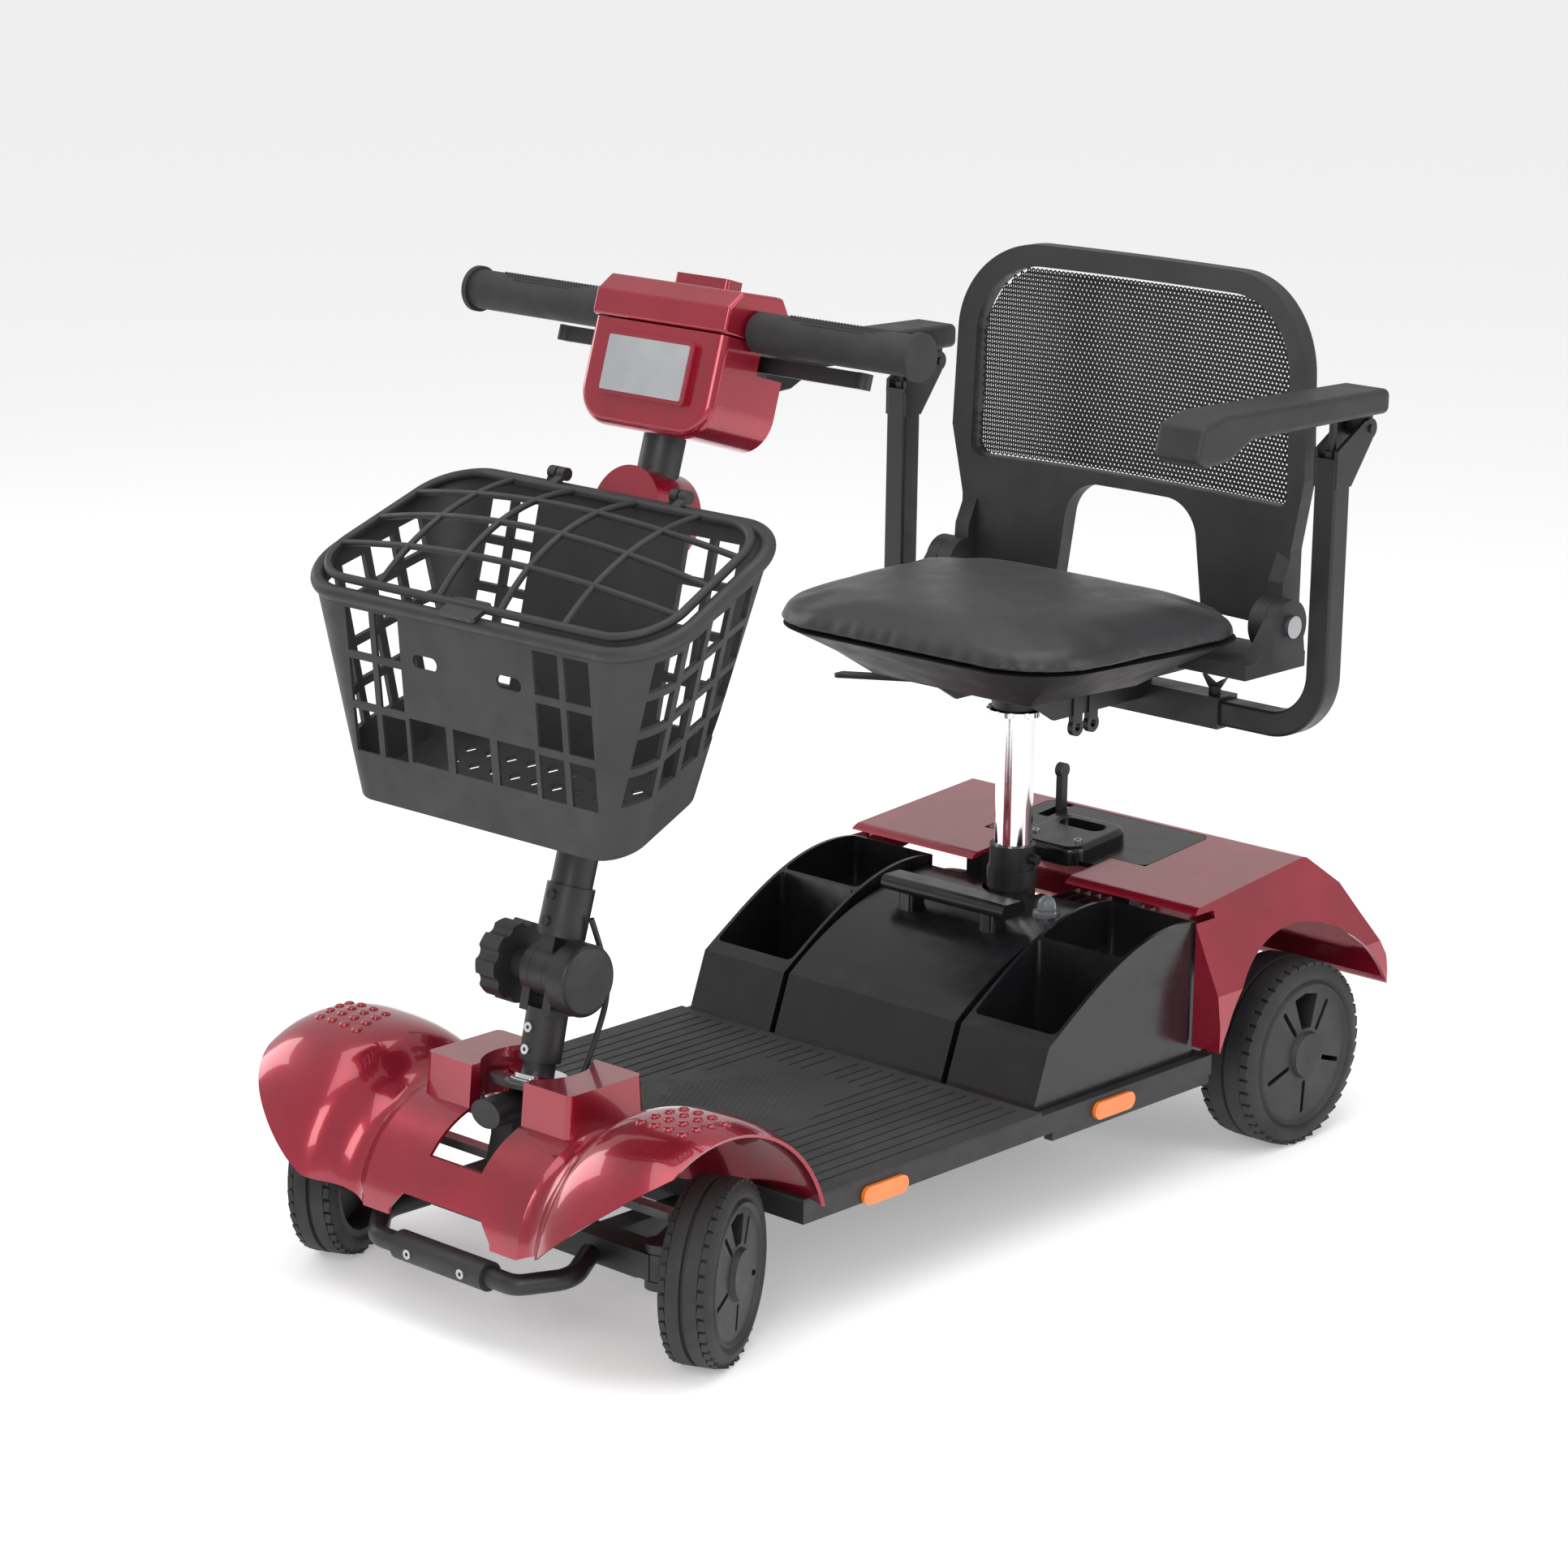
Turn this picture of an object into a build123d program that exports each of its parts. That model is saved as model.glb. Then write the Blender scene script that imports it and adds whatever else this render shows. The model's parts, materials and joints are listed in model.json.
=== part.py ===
from build123d import *
import math
import os

os.makedirs("parts", exist_ok=True)

# Frame of the part: +X is the rider's left, the scooter faces -Y, +Z is up and z = 0 is the ground.

# ---- overall sizes -------------------------------------------------------------------------
wheelbase = 843.0
front_overhang = 133.0
rear_overhang = 114.0
front_axle_y = -(wheelbase + front_overhang + rear_overhang) / 2 + front_overhang
rear_axle_y = front_axle_y + wheelbase
running_gap = 0.05      # radial clearance of a shaft that turns or slides
seat_gap = 0.3          # clearance under a part that rests on its seat
move_gap = 1.0          # clearance between neighbours that move past each other
wall = 3.0              # moulded cover wall

# ---- wheels --------------------------------------------------------------------------------
front_tyre_r = 83.0
front_tyre_w = 49.0
rear_tyre_r = 94.0
rear_tyre_w = 66.0
rim_share = 0.79        # rim radius over tyre radius
shoulder_share = 0.16   # tyre shoulder radius over tyre radius
rear_track_half = 211.0
kingpin_x = 171.0
kingpin_offset = 48.0   # kingpin axis to wheel middle
steer_rest = 24.0       # the wheels stand turned to the left by this angle
axle_r = 8.0

# ---- floor and frame -----------------------------------------------------------------------
rail_x = 95.0
rail_w = 26.0
rail_bottom = 70.0
rail_top = 95.0
floor_half_w = 232.0
mat_top = 127.0
mat_t = 3.0
pan_top = mat_top - mat_t
pan_bottom = 104.0
floor_front_y = front_axle_y + 116.0     # beside the wheels
floor_nose_y = front_axle_y + 92.0       # between the wheels
floor_nose_half = 138.0
box_front_y = rear_axle_y - 399.0
box_rear_y = rear_axle_y - 140.0
pan_rear_y = box_rear_y
reflector_l = 60.0
reflector_h = 17.0
reflector_t = 4.0

# ---- boxes beside and before the seat post ---------------------------------------------------
box_top_front_z = 183.0
box_top_z = 252.0
tray_top_z = 259.0
battery_half_w = 107.0
tray_inner_x = 114.0
tray_outer_x = 221.0
tray_wall = 4.0
battery_lift = 120.0

# ---- seat post -------------------------------------------------------------------------------
post_y = rear_axle_y - 170.0
post_r = 19.0
socket_r = 23.5
socket_base_z = 253.0
socket_top_z = 297.0
post_bottom_z = 140.0
post_top_z = 430.0
swivel_r = 30.0
spigot_r = 15.0

# ---- seat --------------------------------------------------------------------------------------
cushion_half_w = 205.0
cushion_front_y = post_y - 193.0
cushion_rear_y = post_y + 132.0
cushion_bottom_z = 520.0
cushion_top_z = 548.0
front_corner_r = 85.0
rear_corner_r = 70.0
pivot_y = post_y + 142.0
pivot_z = 530.0
hub_r = 26.0
hub_inner_x = 190.0
hub_outer_x = 208.0
ear_outer_x = 222.0
pivot_pin_r = 5.0
back_front_y = post_y + 172.0
back_t = 18.0
back_curve_r = 1370.0
back_half_w = 222.0
back_top_z = 862.0
mesh_bottom_z = 640.0
arch_top_z = 628.0

# ---- armrests ------------------------------------------------------------------------------------
arm_y = post_y + 132.0
arm_z = 436.0
arm_tube = 25.0
arm_wall = 3.0
arm_x = 270.0
arm_bend_r = 55.0
arm_top_z = 700.0
pad_pivot_y = post_y + 172.0
pad_pivot_z = 728.0
pad_bottom_z = 743.0
pad_top_z = 771.0
pad_front_y = post_y - 114.0
pad_rear_y = post_y + 184.0
pad_half_w = 27.0
receiver_half = 158.0

# ---- steering column -----------------------------------------------------------------------------
stem_rake = 12.0
stem_y = front_axle_y + 18.0
stem_z = 210.0
stem_r = 15.0
clutch_z = 302.0
clutch_y = stem_y + (clutch_z - stem_z) * math.tan(math.radians(stem_rake))
tiller_rake = 16.5
tube_r = 19.0
steer_arm = 45.0
link_bottom_z = 106.0
link_top_z = 114.0

# ---- tiller head, measured along the tiller from the clutch ------------------------------------------
head_low = 482.0
head_split = 576.0
head_top = 616.0
head_half_w = 80.0
bar_at = 586.0
bar_r = 11.0
bar_half = 266.0
grip_r = 18.0
grip_in = 84.0
grip_out = 270.0
lever_at = 561.0

# ---- basket --------------------------------------------------------------------------------------------
basket_wall = 4.0
rim_rod_r = 7.0

front_dir = math.radians(steer_rest)
stem_dir = Vector(0, math.sin(math.radians(stem_rake)), math.cos(math.radians(stem_rake)))
tiller_dir = Vector(0, math.sin(math.radians(tiller_rake)), math.cos(math.radians(tiller_rake)))
stem_plane = Plane(origin=(0, stem_y, stem_z), x_dir=(1, 0, 0), z_dir=stem_dir)
clutch_plane = Plane(origin=(0, clutch_y, clutch_z), x_dir=(1, 0, 0), z_dir=stem_dir)
tiller_plane = Plane(origin=(0, clutch_y, clutch_z), x_dir=(1, 0, 0), z_dir=tiller_dir)


def save(name, label):
    name.part.label = label
    export_step(name.part, f"parts/{label}.step")


def side_plane(x):
    """A sketch plane across the scooter at x, whose own x is +Y and own y is +Z."""
    return Plane(origin=(x, 0, 0), x_dir=(0, 1, 0), z_dir=(1, 0, 0))


def front_plane(y):
    """A sketch plane at y, whose own x is +X and own y is +Z, facing -Y."""
    return Plane(origin=(0, y, 0), x_dir=(1, 0, 0), z_dir=(0, -1, 0))


# ==== wheels ============================================================================================
def wheel_axis(side, front):
    """Middle of a wheel and the direction of its axle, outwards."""
    if front:
        out = Vector(math.cos(front_dir), math.sin(front_dir), 0) * side
        pin = Vector(side * kingpin_x, front_axle_y, front_tyre_r)
        return pin + out * kingpin_offset, out
    return Vector(side * rear_track_half, rear_axle_y, rear_tyre_r), Vector(side, 0, 0)


def make_wheel(side, front):
    tyre_r = front_tyre_r if front else rear_tyre_r
    half = (front_tyre_w if front else rear_tyre_w) / 2
    rim_r = tyre_r * rim_share
    middle, out = wheel_axis(side, front)
    name = ("front" if front else "rear") + "_{}_" + ("left" if side > 0 else "right")
    section = Plane(origin=middle, x_dir=(0, 0, 1), z_dir=out.cross(Vector(0, 0, 1)))
    spin = Axis(middle, out)
    face = Plane(origin=middle, x_dir=(0, 0, 1), z_dir=out)
    sign = 1 if section.to_local_coords(middle + out).Y > 0 else -1
    round_r = shoulder_share * tyre_r
    with BuildPart() as tyre:
        with BuildSketch(section):
            with BuildLine():
                Polyline((rim_r, -half + 3), (rim_r + 4, -half), (tyre_r - round_r, -half))
                ThreePointArc((tyre_r - round_r, -half), (tyre_r - 0.3 * round_r, 0.3 * round_r - half),
                              (tyre_r, round_r - half))
                Line((tyre_r, round_r - half), (tyre_r, half - round_r))
                ThreePointArc((tyre_r, half - round_r), (tyre_r - 0.3 * round_r, half - 0.3 * round_r),
                              (tyre_r - round_r, half))
                Polyline((tyre_r - round_r, half), (rim_r + 4, half), (rim_r, half - 3), (rim_r, -half + 3))
            make_face()
        revolve(axis=spin)
    save(tyre, name.format("tyre"))
    with BuildPart() as rim:
        with BuildSketch(section):
            with BuildLine():
                Polyline(
                    (axle_r + running_gap, sign * (half - 14)),
                    (axle_r + running_gap, -sign * (half - 8)),
                    (20, -sign * (half - 8)),
                    (24, -sign * 2),
                    (rim_r - 12, -sign * 2),
                    (rim_r - 6, -sign * (half - 3)),
                    (rim_r, -sign * (half - 3)),
                    (rim_r, sign * (half - 3)),
                    (rim_r - 3, sign * half),
                    (rim_r - 7, sign * (half - 3)),
                    (24, sign * (half - 1)),
                    (22, sign * (half + 4)),
                    (0, sign * (half + 4)),
                    (0, sign * (half - 14)),
                    close=True,
                )
            make_face()
        revolve(axis=spin)
        with BuildSketch(face.offset(8)):
            with PolarLocations(0, 5):
                with BuildLine():
                    Polyline(
                        (27, 7.5), (rim_r - 15, 0.25 * rim_r), (rim_r - 11, 0.02 * rim_r),
                        (rim_r - 15, -0.25 * rim_r), (27, -7.5), close=True,
                    )
                make_face()
            with PolarLocations((rim_r + 14) / 2, 5, start_angle=36):
                SlotOverall(rim_r - 40, 5)
        extrude(amount=half, mode=Mode.SUBTRACT)
    save(rim, name.format("rim"))


for side in (1, -1):
    make_wheel(side, True)
    make_wheel(side, False)

# ==== knuckles and tie rod ================================================================================
boss_r = 14.0
yoke_wall_in = 16.0
yoke_wall_out = 21.0
beam_half_y = 15.0
boss_low = 71.0
boss_high = 95.0
plate_t = 8.0


def arm_end(x):
    """End of a steering arm whose pivot stands at x on the front axle line."""
    return Vector(x - steer_arm * math.sin(front_dir), front_axle_y + steer_arm * math.cos(front_dir), 0)


for side in (1, -1):
    middle, out = wheel_axis(side, True)
    pin = Vector(side * kingpin_x, front_axle_y, 0)
    out_angle = math.degrees(math.atan2(out.Y, out.X))
    arm_angle = steer_rest + 90
    low_z = boss_low - move_gap - plate_t
    top_z = boss_high + move_gap
    with BuildPart() as knuckle:
        with BuildSketch(Plane.XY.offset(low_z)):
            with Locations(pin):
                Circle(axle_r)
        extrude(amount=top_z + plate_t - low_z)
        with BuildSketch(Plane.XY.offset(low_z), Plane.XY.offset(top_z)):
            with Locations(pin):
                Circle(boss_r)
            with Locations(Location(pin + out * (yoke_wall_out / 2), (0, 0, out_angle))):
                Rectangle(yoke_wall_out, 2 * boss_r)
        extrude(amount=plate_t)
        with BuildSketch(Plane.XY.offset(low_z)):
            with Locations(Location(pin + out * ((yoke_wall_in + yoke_wall_out) / 2), (0, 0, out_angle))):
                Rectangle(yoke_wall_out - yoke_wall_in, 2 * boss_r)
        extrude(amount=top_z + plate_t - low_z)
        with BuildSketch(Plane.XY.offset(top_z)):
            with Locations(Location(pin + (arm_end(pin.X) - pin) * 0.5, (0, 0, arm_angle))):
                Rectangle(steer_arm, 16)
            with Locations(arm_end(pin.X)):
                Circle(9)
        extrude(amount=plate_t)
        with BuildSketch(Plane.XY.offset(top_z)):
            with Locations(arm_end(pin.X)):
                Circle(4)
        extrude(amount=link_top_z + 5 - top_z)
        stub = Vector(pin.X, pin.Y, front_tyre_r) + out * (yoke_wall_out - 1)
        with BuildSketch(Plane(origin=stub, x_dir=(0, 0, 1), z_dir=out)):
            Circle(axle_r)
        extrude(amount=kingpin_offset - yoke_wall_out + front_tyre_w / 2 - 16)
    save(knuckle, "knuckle_left" if side > 0 else "knuckle_right")

pitman_y = front_axle_y - 0.5
link_left, link_right = arm_end(kingpin_x), arm_end(-kingpin_x)
link_middle = Vector(arm_end(0).X, arm_end(0).Y + pitman_y - front_axle_y, 0)
with BuildPart() as tie_rod:
    with BuildSketch(Plane.XY.offset(link_bottom_z)):
        with Locations((link_left + link_right) * 0.5):
            Rectangle(2 * kingpin_x, 14)
        with Locations(link_left, link_right):
            Circle(9)
        with Locations(link_middle):
            Circle(12)
        with Locations(link_left):
            Circle(4 + running_gap, mode=Mode.SUBTRACT)
        with Locations(link_right):
            Circle(5, mode=Mode.SUBTRACT)
        with Locations(link_middle):
            Circle(6.5, mode=Mode.SUBTRACT)
    extrude(amount=link_top_z - link_bottom_z)
save(tie_rod, "tie_rod")

# ==== frame ================================================================================================
head_tube_low = -72.0      # along the stem from its base
head_tube_high = -9.0
head_tube_r = 21.0
clamp_z = 189.0
rear_post_y = rear_axle_y - 105.0
cover_top_front_z = 271.0
cover_top_rear_z = 288.0
cover_front_y = rear_axle_y - 163.0
cover_slope_end_y = rear_axle_y + 25.0


def cover_top(y):
    """Height of the rear cover's flat top at y."""
    share = (y - cover_front_y) / (cover_slope_end_y - cover_front_y)
    return cover_top_front_z + share * (cover_top_rear_z - cover_top_front_z)


cover_wall = 4.0
shelf_z = 160.0
axle_tube_r = 25.0
rail_rear_y = rear_axle_y - axle_tube_r - seat_gap
with BuildPart() as chassis_frame:
    with BuildSketch(Plane.XY.offset(rail_bottom)):
        with Locations((-rail_x, 0), (rail_x, 0)):
            with Locations((0, (front_axle_y + rail_rear_y) / 2)):
                Rectangle(rail_w, rail_rear_y - front_axle_y)
        with Locations((0, front_axle_y)):
            Rectangle(2 * kingpin_x, 2 * beam_half_y)
        with Locations((-kingpin_x, front_axle_y), (kingpin_x, front_axle_y)):
            Circle(boss_r)
        for y in (front_axle_y + 150, box_front_y, post_y, rear_post_y):
            with Locations((0, y)):
                Rectangle(2 * rail_x, 30)
    extrude(amount=rail_top - rail_bottom)
    with BuildSketch(Plane.XY.offset(rail_bottom)):
        with Locations((-kingpin_x, front_axle_y), (kingpin_x, front_axle_y)):
            Circle(boss_r + 6)
            Circle(boss_r - 4, mode=Mode.SUBTRACT)
    extrude(amount=boss_low - rail_bottom, mode=Mode.SUBTRACT)
    with BuildSketch(Plane.XY.offset(rail_bottom)):
        with Locations((0, post_y)):
            Circle(socket_r)
    extrude(amount=socket_base_z - rail_bottom)
    with BuildSketch(Plane.XY.offset(post_bottom_z)):
        with Locations((0, post_y)):
            Circle(post_r + running_gap)
    extrude(amount=socket_base_z - post_bottom_z, mode=Mode.SUBTRACT)
    with BuildSketch(Plane.XY.offset(rail_top)):
        with Locations((-rail_x, rear_post_y), (rail_x, rear_post_y)):
            Rectangle(20, 20)
    extrude(amount=cover_top(rear_post_y - 10) - cover_wall - seat_gap - rail_top)
    with BuildSketch(Plane.XY.offset(shelf_z)):
        with Locations((0, rear_post_y + 60)):
            Rectangle(2 * rail_x + 20, 140)
    extrude(amount=4)
    with BuildSketch(side_plane(-12)):
        with BuildLine():
            Polyline(
                (front_axle_y - 10, rail_bottom), (front_axle_y - 10, rail_top - 2),
                (front_axle_y - 22, rail_top + 6), (front_axle_y - 22, 138), (front_axle_y - 2, 150),
                (front_axle_y - 2, stem_z - 18), (front_axle_y - 20, stem_z - 18),
                (front_axle_y - 40, 120), (front_axle_y - 34, rail_bottom), close=True,
            )
        make_face()
    extrude(amount=24)
    with BuildSketch(stem_plane.offset(head_tube_low)):
        Circle(head_tube_r)
    extrude(amount=head_tube_high - head_tube_low)
    with BuildSketch(front_plane(front_axle_y)):
        with Locations((0, clamp_z)):
            Ellipse(18, 13)
    extrude(amount=46)
    with BuildSketch(stem_plane.offset(head_tube_low - 4)):
        Circle(stem_r + running_gap)
    extrude(amount=head_tube_high - head_tube_low + 30, mode=Mode.SUBTRACT)
    with BuildSketch(Plane.XY.offset(rail_bottom)):
        with Locations((-kingpin_x, front_axle_y), (kingpin_x, front_axle_y)):
            Circle(axle_r + running_gap)
    extrude(amount=rail_top - rail_bottom, mode=Mode.SUBTRACT)
save(chassis_frame, "chassis_frame")

# ==== floor ====================================================================================================
pan_rear_half = tray_outer_x
rib_top_z = rail_top


# Plan outline of the floor: a nose between the wheels and square corners behind them.
floor_outline = [
    (-floor_nose_half, floor_nose_y), (floor_nose_half, floor_nose_y), (floor_nose_half, floor_front_y),
    (floor_half_w, floor_front_y), (floor_half_w, box_front_y), (-floor_half_w, box_front_y),
    (-floor_half_w, floor_front_y), (-floor_nose_half, floor_front_y),
]


with BuildPart() as floor_pan:
    with BuildSketch(Plane.XY.offset(pan_bottom)):
        with BuildLine():
            Polyline(*floor_outline, close=True)
        make_face()
        with Locations((0, (box_front_y + pan_rear_y) / 2)):
            Rectangle(2 * floor_half_w, pan_rear_y - box_front_y)
    extrude(amount=pan_top - pan_bottom)
    with BuildSketch(Plane.XY.offset(pan_bottom - 10)):
        with Locations((0, (box_front_y + 20 + pan_rear_y) / 2)):
            Rectangle(2 * floor_half_w - 6, pan_rear_y - box_front_y - 20)
            Rectangle(2 * floor_half_w - 26, pan_rear_y - box_front_y - 20, mode=Mode.SUBTRACT)
    extrude(amount=10)
    with BuildSketch(Plane.XY.offset(pan_bottom)):
        with Locations((0, (floor_front_y + pan_rear_y) / 2)):
            Rectangle(2 * floor_half_w - 12, pan_rear_y - floor_front_y - 12)
    extrude(amount=pan_top - pan_bottom - 5, mode=Mode.SUBTRACT)
    with BuildSketch(Plane.XY.offset(rib_top_z)):
        with Locations((-rail_x, (floor_front_y + pan_rear_y) / 2), (rail_x, (floor_front_y + pan_rear_y) / 2)):
            Rectangle(8, pan_rear_y - floor_front_y - 20)
    extrude(amount=pan_top - 3 - rib_top_z)
    with BuildSketch(Plane.XY.offset(rail_top)):
        with Locations((0, post_y)):
            Circle(socket_r + move_gap)
    extrude(amount=60, mode=Mode.SUBTRACT)
save(floor_pan, "floor_pan")

pad_y = front_axle_y + 262.0
pad_front_r = 78.0
with BuildPart() as floor_mat:
    with BuildSketch(Plane.XY.offset(pan_top)):
        with BuildLine():
            Polyline(*floor_outline, close=True)
        make_face()
        with Locations((0, box_front_y)):
            Rectangle(2 * floor_half_w, 2 * seat_gap, mode=Mode.SUBTRACT)
    extrude(amount=mat_t)
    groove_rows = [x for x in range(-210, 211, 15) if abs(x) > 3]
    with BuildSketch(Plane.XY.offset(mat_top - 1)):
        for x in groove_rows:
            with Locations((x, (floor_front_y + box_front_y) / 2)):
                Rectangle(2.5, box_front_y - floor_front_y - 24)
        with Locations((0, pad_y)):
            Circle(pad_front_r + 14, mode=Mode.SUBTRACT)
        with Locations((0, pad_y + 60)):
            Rectangle(2 * pad_front_r - 16, 120, mode=Mode.SUBTRACT)
    extrude(amount=1, mode=Mode.SUBTRACT)
save(floor_mat, "floor_mat")

with BuildPart() as floor_reflectors:
    for side in (-1, 1):
        for y in (front_axle_y + 222, front_axle_y + 549):
            with BuildSketch(side_plane(side * floor_half_w if side > 0 else -floor_half_w - reflector_t)):
                with Locations((y, pan_bottom + 6)):
                    SlotOverall(reflector_l, reflector_h)
            extrude(amount=reflector_t)
save(floor_reflectors, "floor_reflectors")

# ==== front cover ================================================================================================
cover_axis_y = front_axle_y - 6.0
cover_axis_z = 91.0
barrel_r = 97.0
barrel_half = 98.0
fender_r = 137.0
fender_out_x = 256.0
front_edge_z = 94.0
tower_half_out = 91.0
tower_half_in = 33.0
tower_top_z = 223.0
tower_front_y = front_axle_y - 31.0
tower_rear_y = front_axle_y + 58.0
stem_pocket_r = 50.0


def cover_profile(drop):
    """Half section of the front cover, x across and r from the axle line, moved inwards by drop."""
    return [
        (0, barrel_r - drop), (barrel_half, barrel_r - drop), (112, barrel_r - 3 - drop), (126, barrel_r + 4 - drop),
        (146, barrel_r + 27 - drop), (172, fender_r - 3 - drop), (205, fender_r - drop),
        (238, fender_r - 2 - drop), (fender_out_x - drop / 2, fender_r - 8 - drop),
    ]


with BuildPart() as front_cover:
    for side in (1, -1):
        outer = [(side * x, cover_axis_z + r) for x, r in cover_profile(0)]
        inner = [(side * x, cover_axis_z + r) for x, r in cover_profile(wall)]
        with BuildSketch(front_plane(cover_axis_y)):
            with BuildLine():
                Line(outer[0], outer[1])
                Spline(*outer[1:])
                Line(outer[-1], inner[-1])
                Spline(*inner[:0:-1])
                Line(inner[1], inner[0])
                Line(inner[0], outer[0])
            make_face()
        revolve(axis=Axis((0, cover_axis_y, cover_axis_z), (1, 0, 0)))
    with BuildSketch(Plane.XY.offset(tower_top_z)):
        with Locations((0, (tower_front_y + tower_rear_y) / 2)):
            Rectangle(2 * tower_half_out, tower_rear_y - tower_front_y)
        fillet(vertices(), radius=6)
    extrude(amount=-(tower_top_z - cover_axis_z - barrel_r + 22), taper=-5)
    with BuildSketch(Plane.XY.offset(cover_axis_z - fender_r - 20)):
        with Locations((0, cover_axis_y)):
            Rectangle(2 * fender_out_x + 20, 4 * fender_r)
    extrude(amount=front_edge_z - cover_axis_z + fender_r + 20, mode=Mode.SUBTRACT)
    with BuildSketch(Plane.XY.offset(cover_axis_z - 20)):
        with Locations((0, front_axle_y + fender_r)):
            Rectangle(2 * fender_out_x + 20, 2 * fender_r)
    extrude(amount=mat_top + seat_gap - cover_axis_z + 20, mode=Mode.SUBTRACT)
    for side in (1, -1):
        with BuildSketch(front_plane(cover_axis_y)):
            with BuildLine():
                Polyline(
                    (side * 92, front_edge_z - 2), (side * 150, 116), (side * 262, 205),
                    (side * 300, 205), (side * 300, 60), (side * 92, 60), close=True,
                )
            make_face()
        extrude(amount=2 * fender_r, mode=Mode.SUBTRACT)
    with BuildSketch(front_plane(front_axle_y)):
        with BuildLine():
            Polyline((-66, 80), (-64, 100), (-50, 117), (50, 117), (64, 100), (66, 80), close=True)
        make_face()
    extrude(amount=2 * fender_r, mode=Mode.SUBTRACT)
    with BuildSketch(side_plane(-barrel_half)):
        with Locations((cover_axis_y, cover_axis_z)):
            Circle(barrel_r - wall)
    extrude(amount=2 * barrel_half, mode=Mode.SUBTRACT)
    with BuildSketch(Plane.XY.offset(cover_axis_z + 60)):
        with Locations((0, tower_front_y + 20)):
            Rectangle(2 * tower_half_in, 2 * (stem_y - tower_front_y) + 60)
        with Locations((0, stem_y - 1)):
            Circle(stem_pocket_r)
    extrude(amount=120, mode=Mode.SUBTRACT)
save(front_cover, "front_cover")

# ==== bumper ======================================================================================================
bumper_y = front_axle_y - 95.0
bumper_z = 66.0
bumper_tube_r = 9.5
bumper_root_y = front_axle_y - beam_half_y - seat_gap - 0.44 * bumper_tube_r
sleeve_r = 13.5
sleeve_half = 57.0
screw_r = 4.5
screw_x = 34.0
with BuildPart() as bumper_bar:
    with BuildLine() as bumper_path:
        FilletPolyline(
            (-104, bumper_root_y, 80), (-122, front_axle_y - 58, 72),
            (-88, bumper_y, bumper_z), (88, bumper_y, bumper_z), (122, front_axle_y - 58, 72),
            (104, bumper_root_y, 80), radius=22,
        )
    with BuildSketch(Plane(origin=bumper_path.line @ 0, z_dir=bumper_path.line % 0)):
        Circle(bumper_tube_r)
    sweep()
save(bumper_bar, "bumper_bar")

with BuildPart() as bumper_sleeve:
    with BuildSketch(side_plane(-sleeve_half)):
        with Locations((bumper_y, bumper_z)):
            Circle(sleeve_r)
            Circle(bumper_tube_r + running_gap, mode=Mode.SUBTRACT)
    extrude(amount=2 * sleeve_half)
    with BuildSketch(front_plane(bumper_y - sleeve_r + 1)):
        with Locations((-screw_x, bumper_z), (screw_x, bumper_z)):
            Circle(screw_r + running_gap)
    extrude(amount=10, mode=Mode.SUBTRACT)
save(bumper_sleeve, "bumper_sleeve")

# ==== boxes before and beside the seat post ==========================================================================
def box_side(low_z, top_z, rear_y):
    """Side outline of a box: a sloped front, a rounded shoulder and a gently rising top."""
    return [
        (box_front_y, low_z), (box_front_y + 2, mat_top + 4), (box_front_y + 21, box_top_front_z),
    ], [
        (box_front_y + 21, box_top_front_z), (box_front_y + 62, box_top_front_z + 26),
        (box_front_y + 130, top_z - 14), (rear_y, top_z),
    ]


tray_rear_y = box_rear_y - 16
battery_rear_y = post_y + 2
box_floor_z = pan_top + seat_gap
bin_split_y = box_front_y + 128.0
cup_y = box_front_y + 175.0
cup_r = 33.0
for side, name in ((1, "storage_tray_left"), (-1, "storage_tray_right")):
    front, top = box_side(box_floor_z, tray_top_z, tray_rear_y)
    start = tray_inner_x if side > 0 else -tray_outer_x
    middle_x = side * (tray_inner_x + tray_outer_x) / 2
    with BuildPart() as storage_tray:
        with BuildSketch(side_plane(start)):
            with BuildLine():
                Polyline(*front)
                Spline(*top)
                Polyline((tray_rear_y, tray_top_z), (tray_rear_y, box_floor_z), (box_front_y, box_floor_z))
            make_face()
        extrude(amount=tray_outer_x - tray_inner_x)
        fillet(storage_tray.edges().filter_by(Axis.Z).group_by(Axis.Y)[-1], radius=3)
        with BuildSketch(Plane.XY.offset(mat_top + 8)):
            with Locations((middle_x, (box_front_y + 34 + bin_split_y) / 2)):
                Rectangle(tray_outer_x - tray_inner_x - 2 * tray_wall, bin_split_y - box_front_y - 34)
            fillet(vertices(), radius=6)
        extrude(amount=200, mode=Mode.SUBTRACT)
        with BuildSketch(Plane.XY.offset(tray_top_z - 42)):
            with Locations((middle_x, (bin_split_y + tray_wall + tray_rear_y - tray_wall) / 2)):
                Rectangle(tray_outer_x - tray_inner_x - 2 * tray_wall, tray_rear_y - bin_split_y - 2 * tray_wall)
            fillet(vertices(), radius=6)
        extrude(amount=200, mode=Mode.SUBTRACT)
        with BuildSketch(Plane.XY.offset(mat_top + 20)):
            with Locations((middle_x, cup_y)):
                Circle(cup_r)
        extrude(amount=200, mode=Mode.SUBTRACT)
    save(storage_tray, name)

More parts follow.
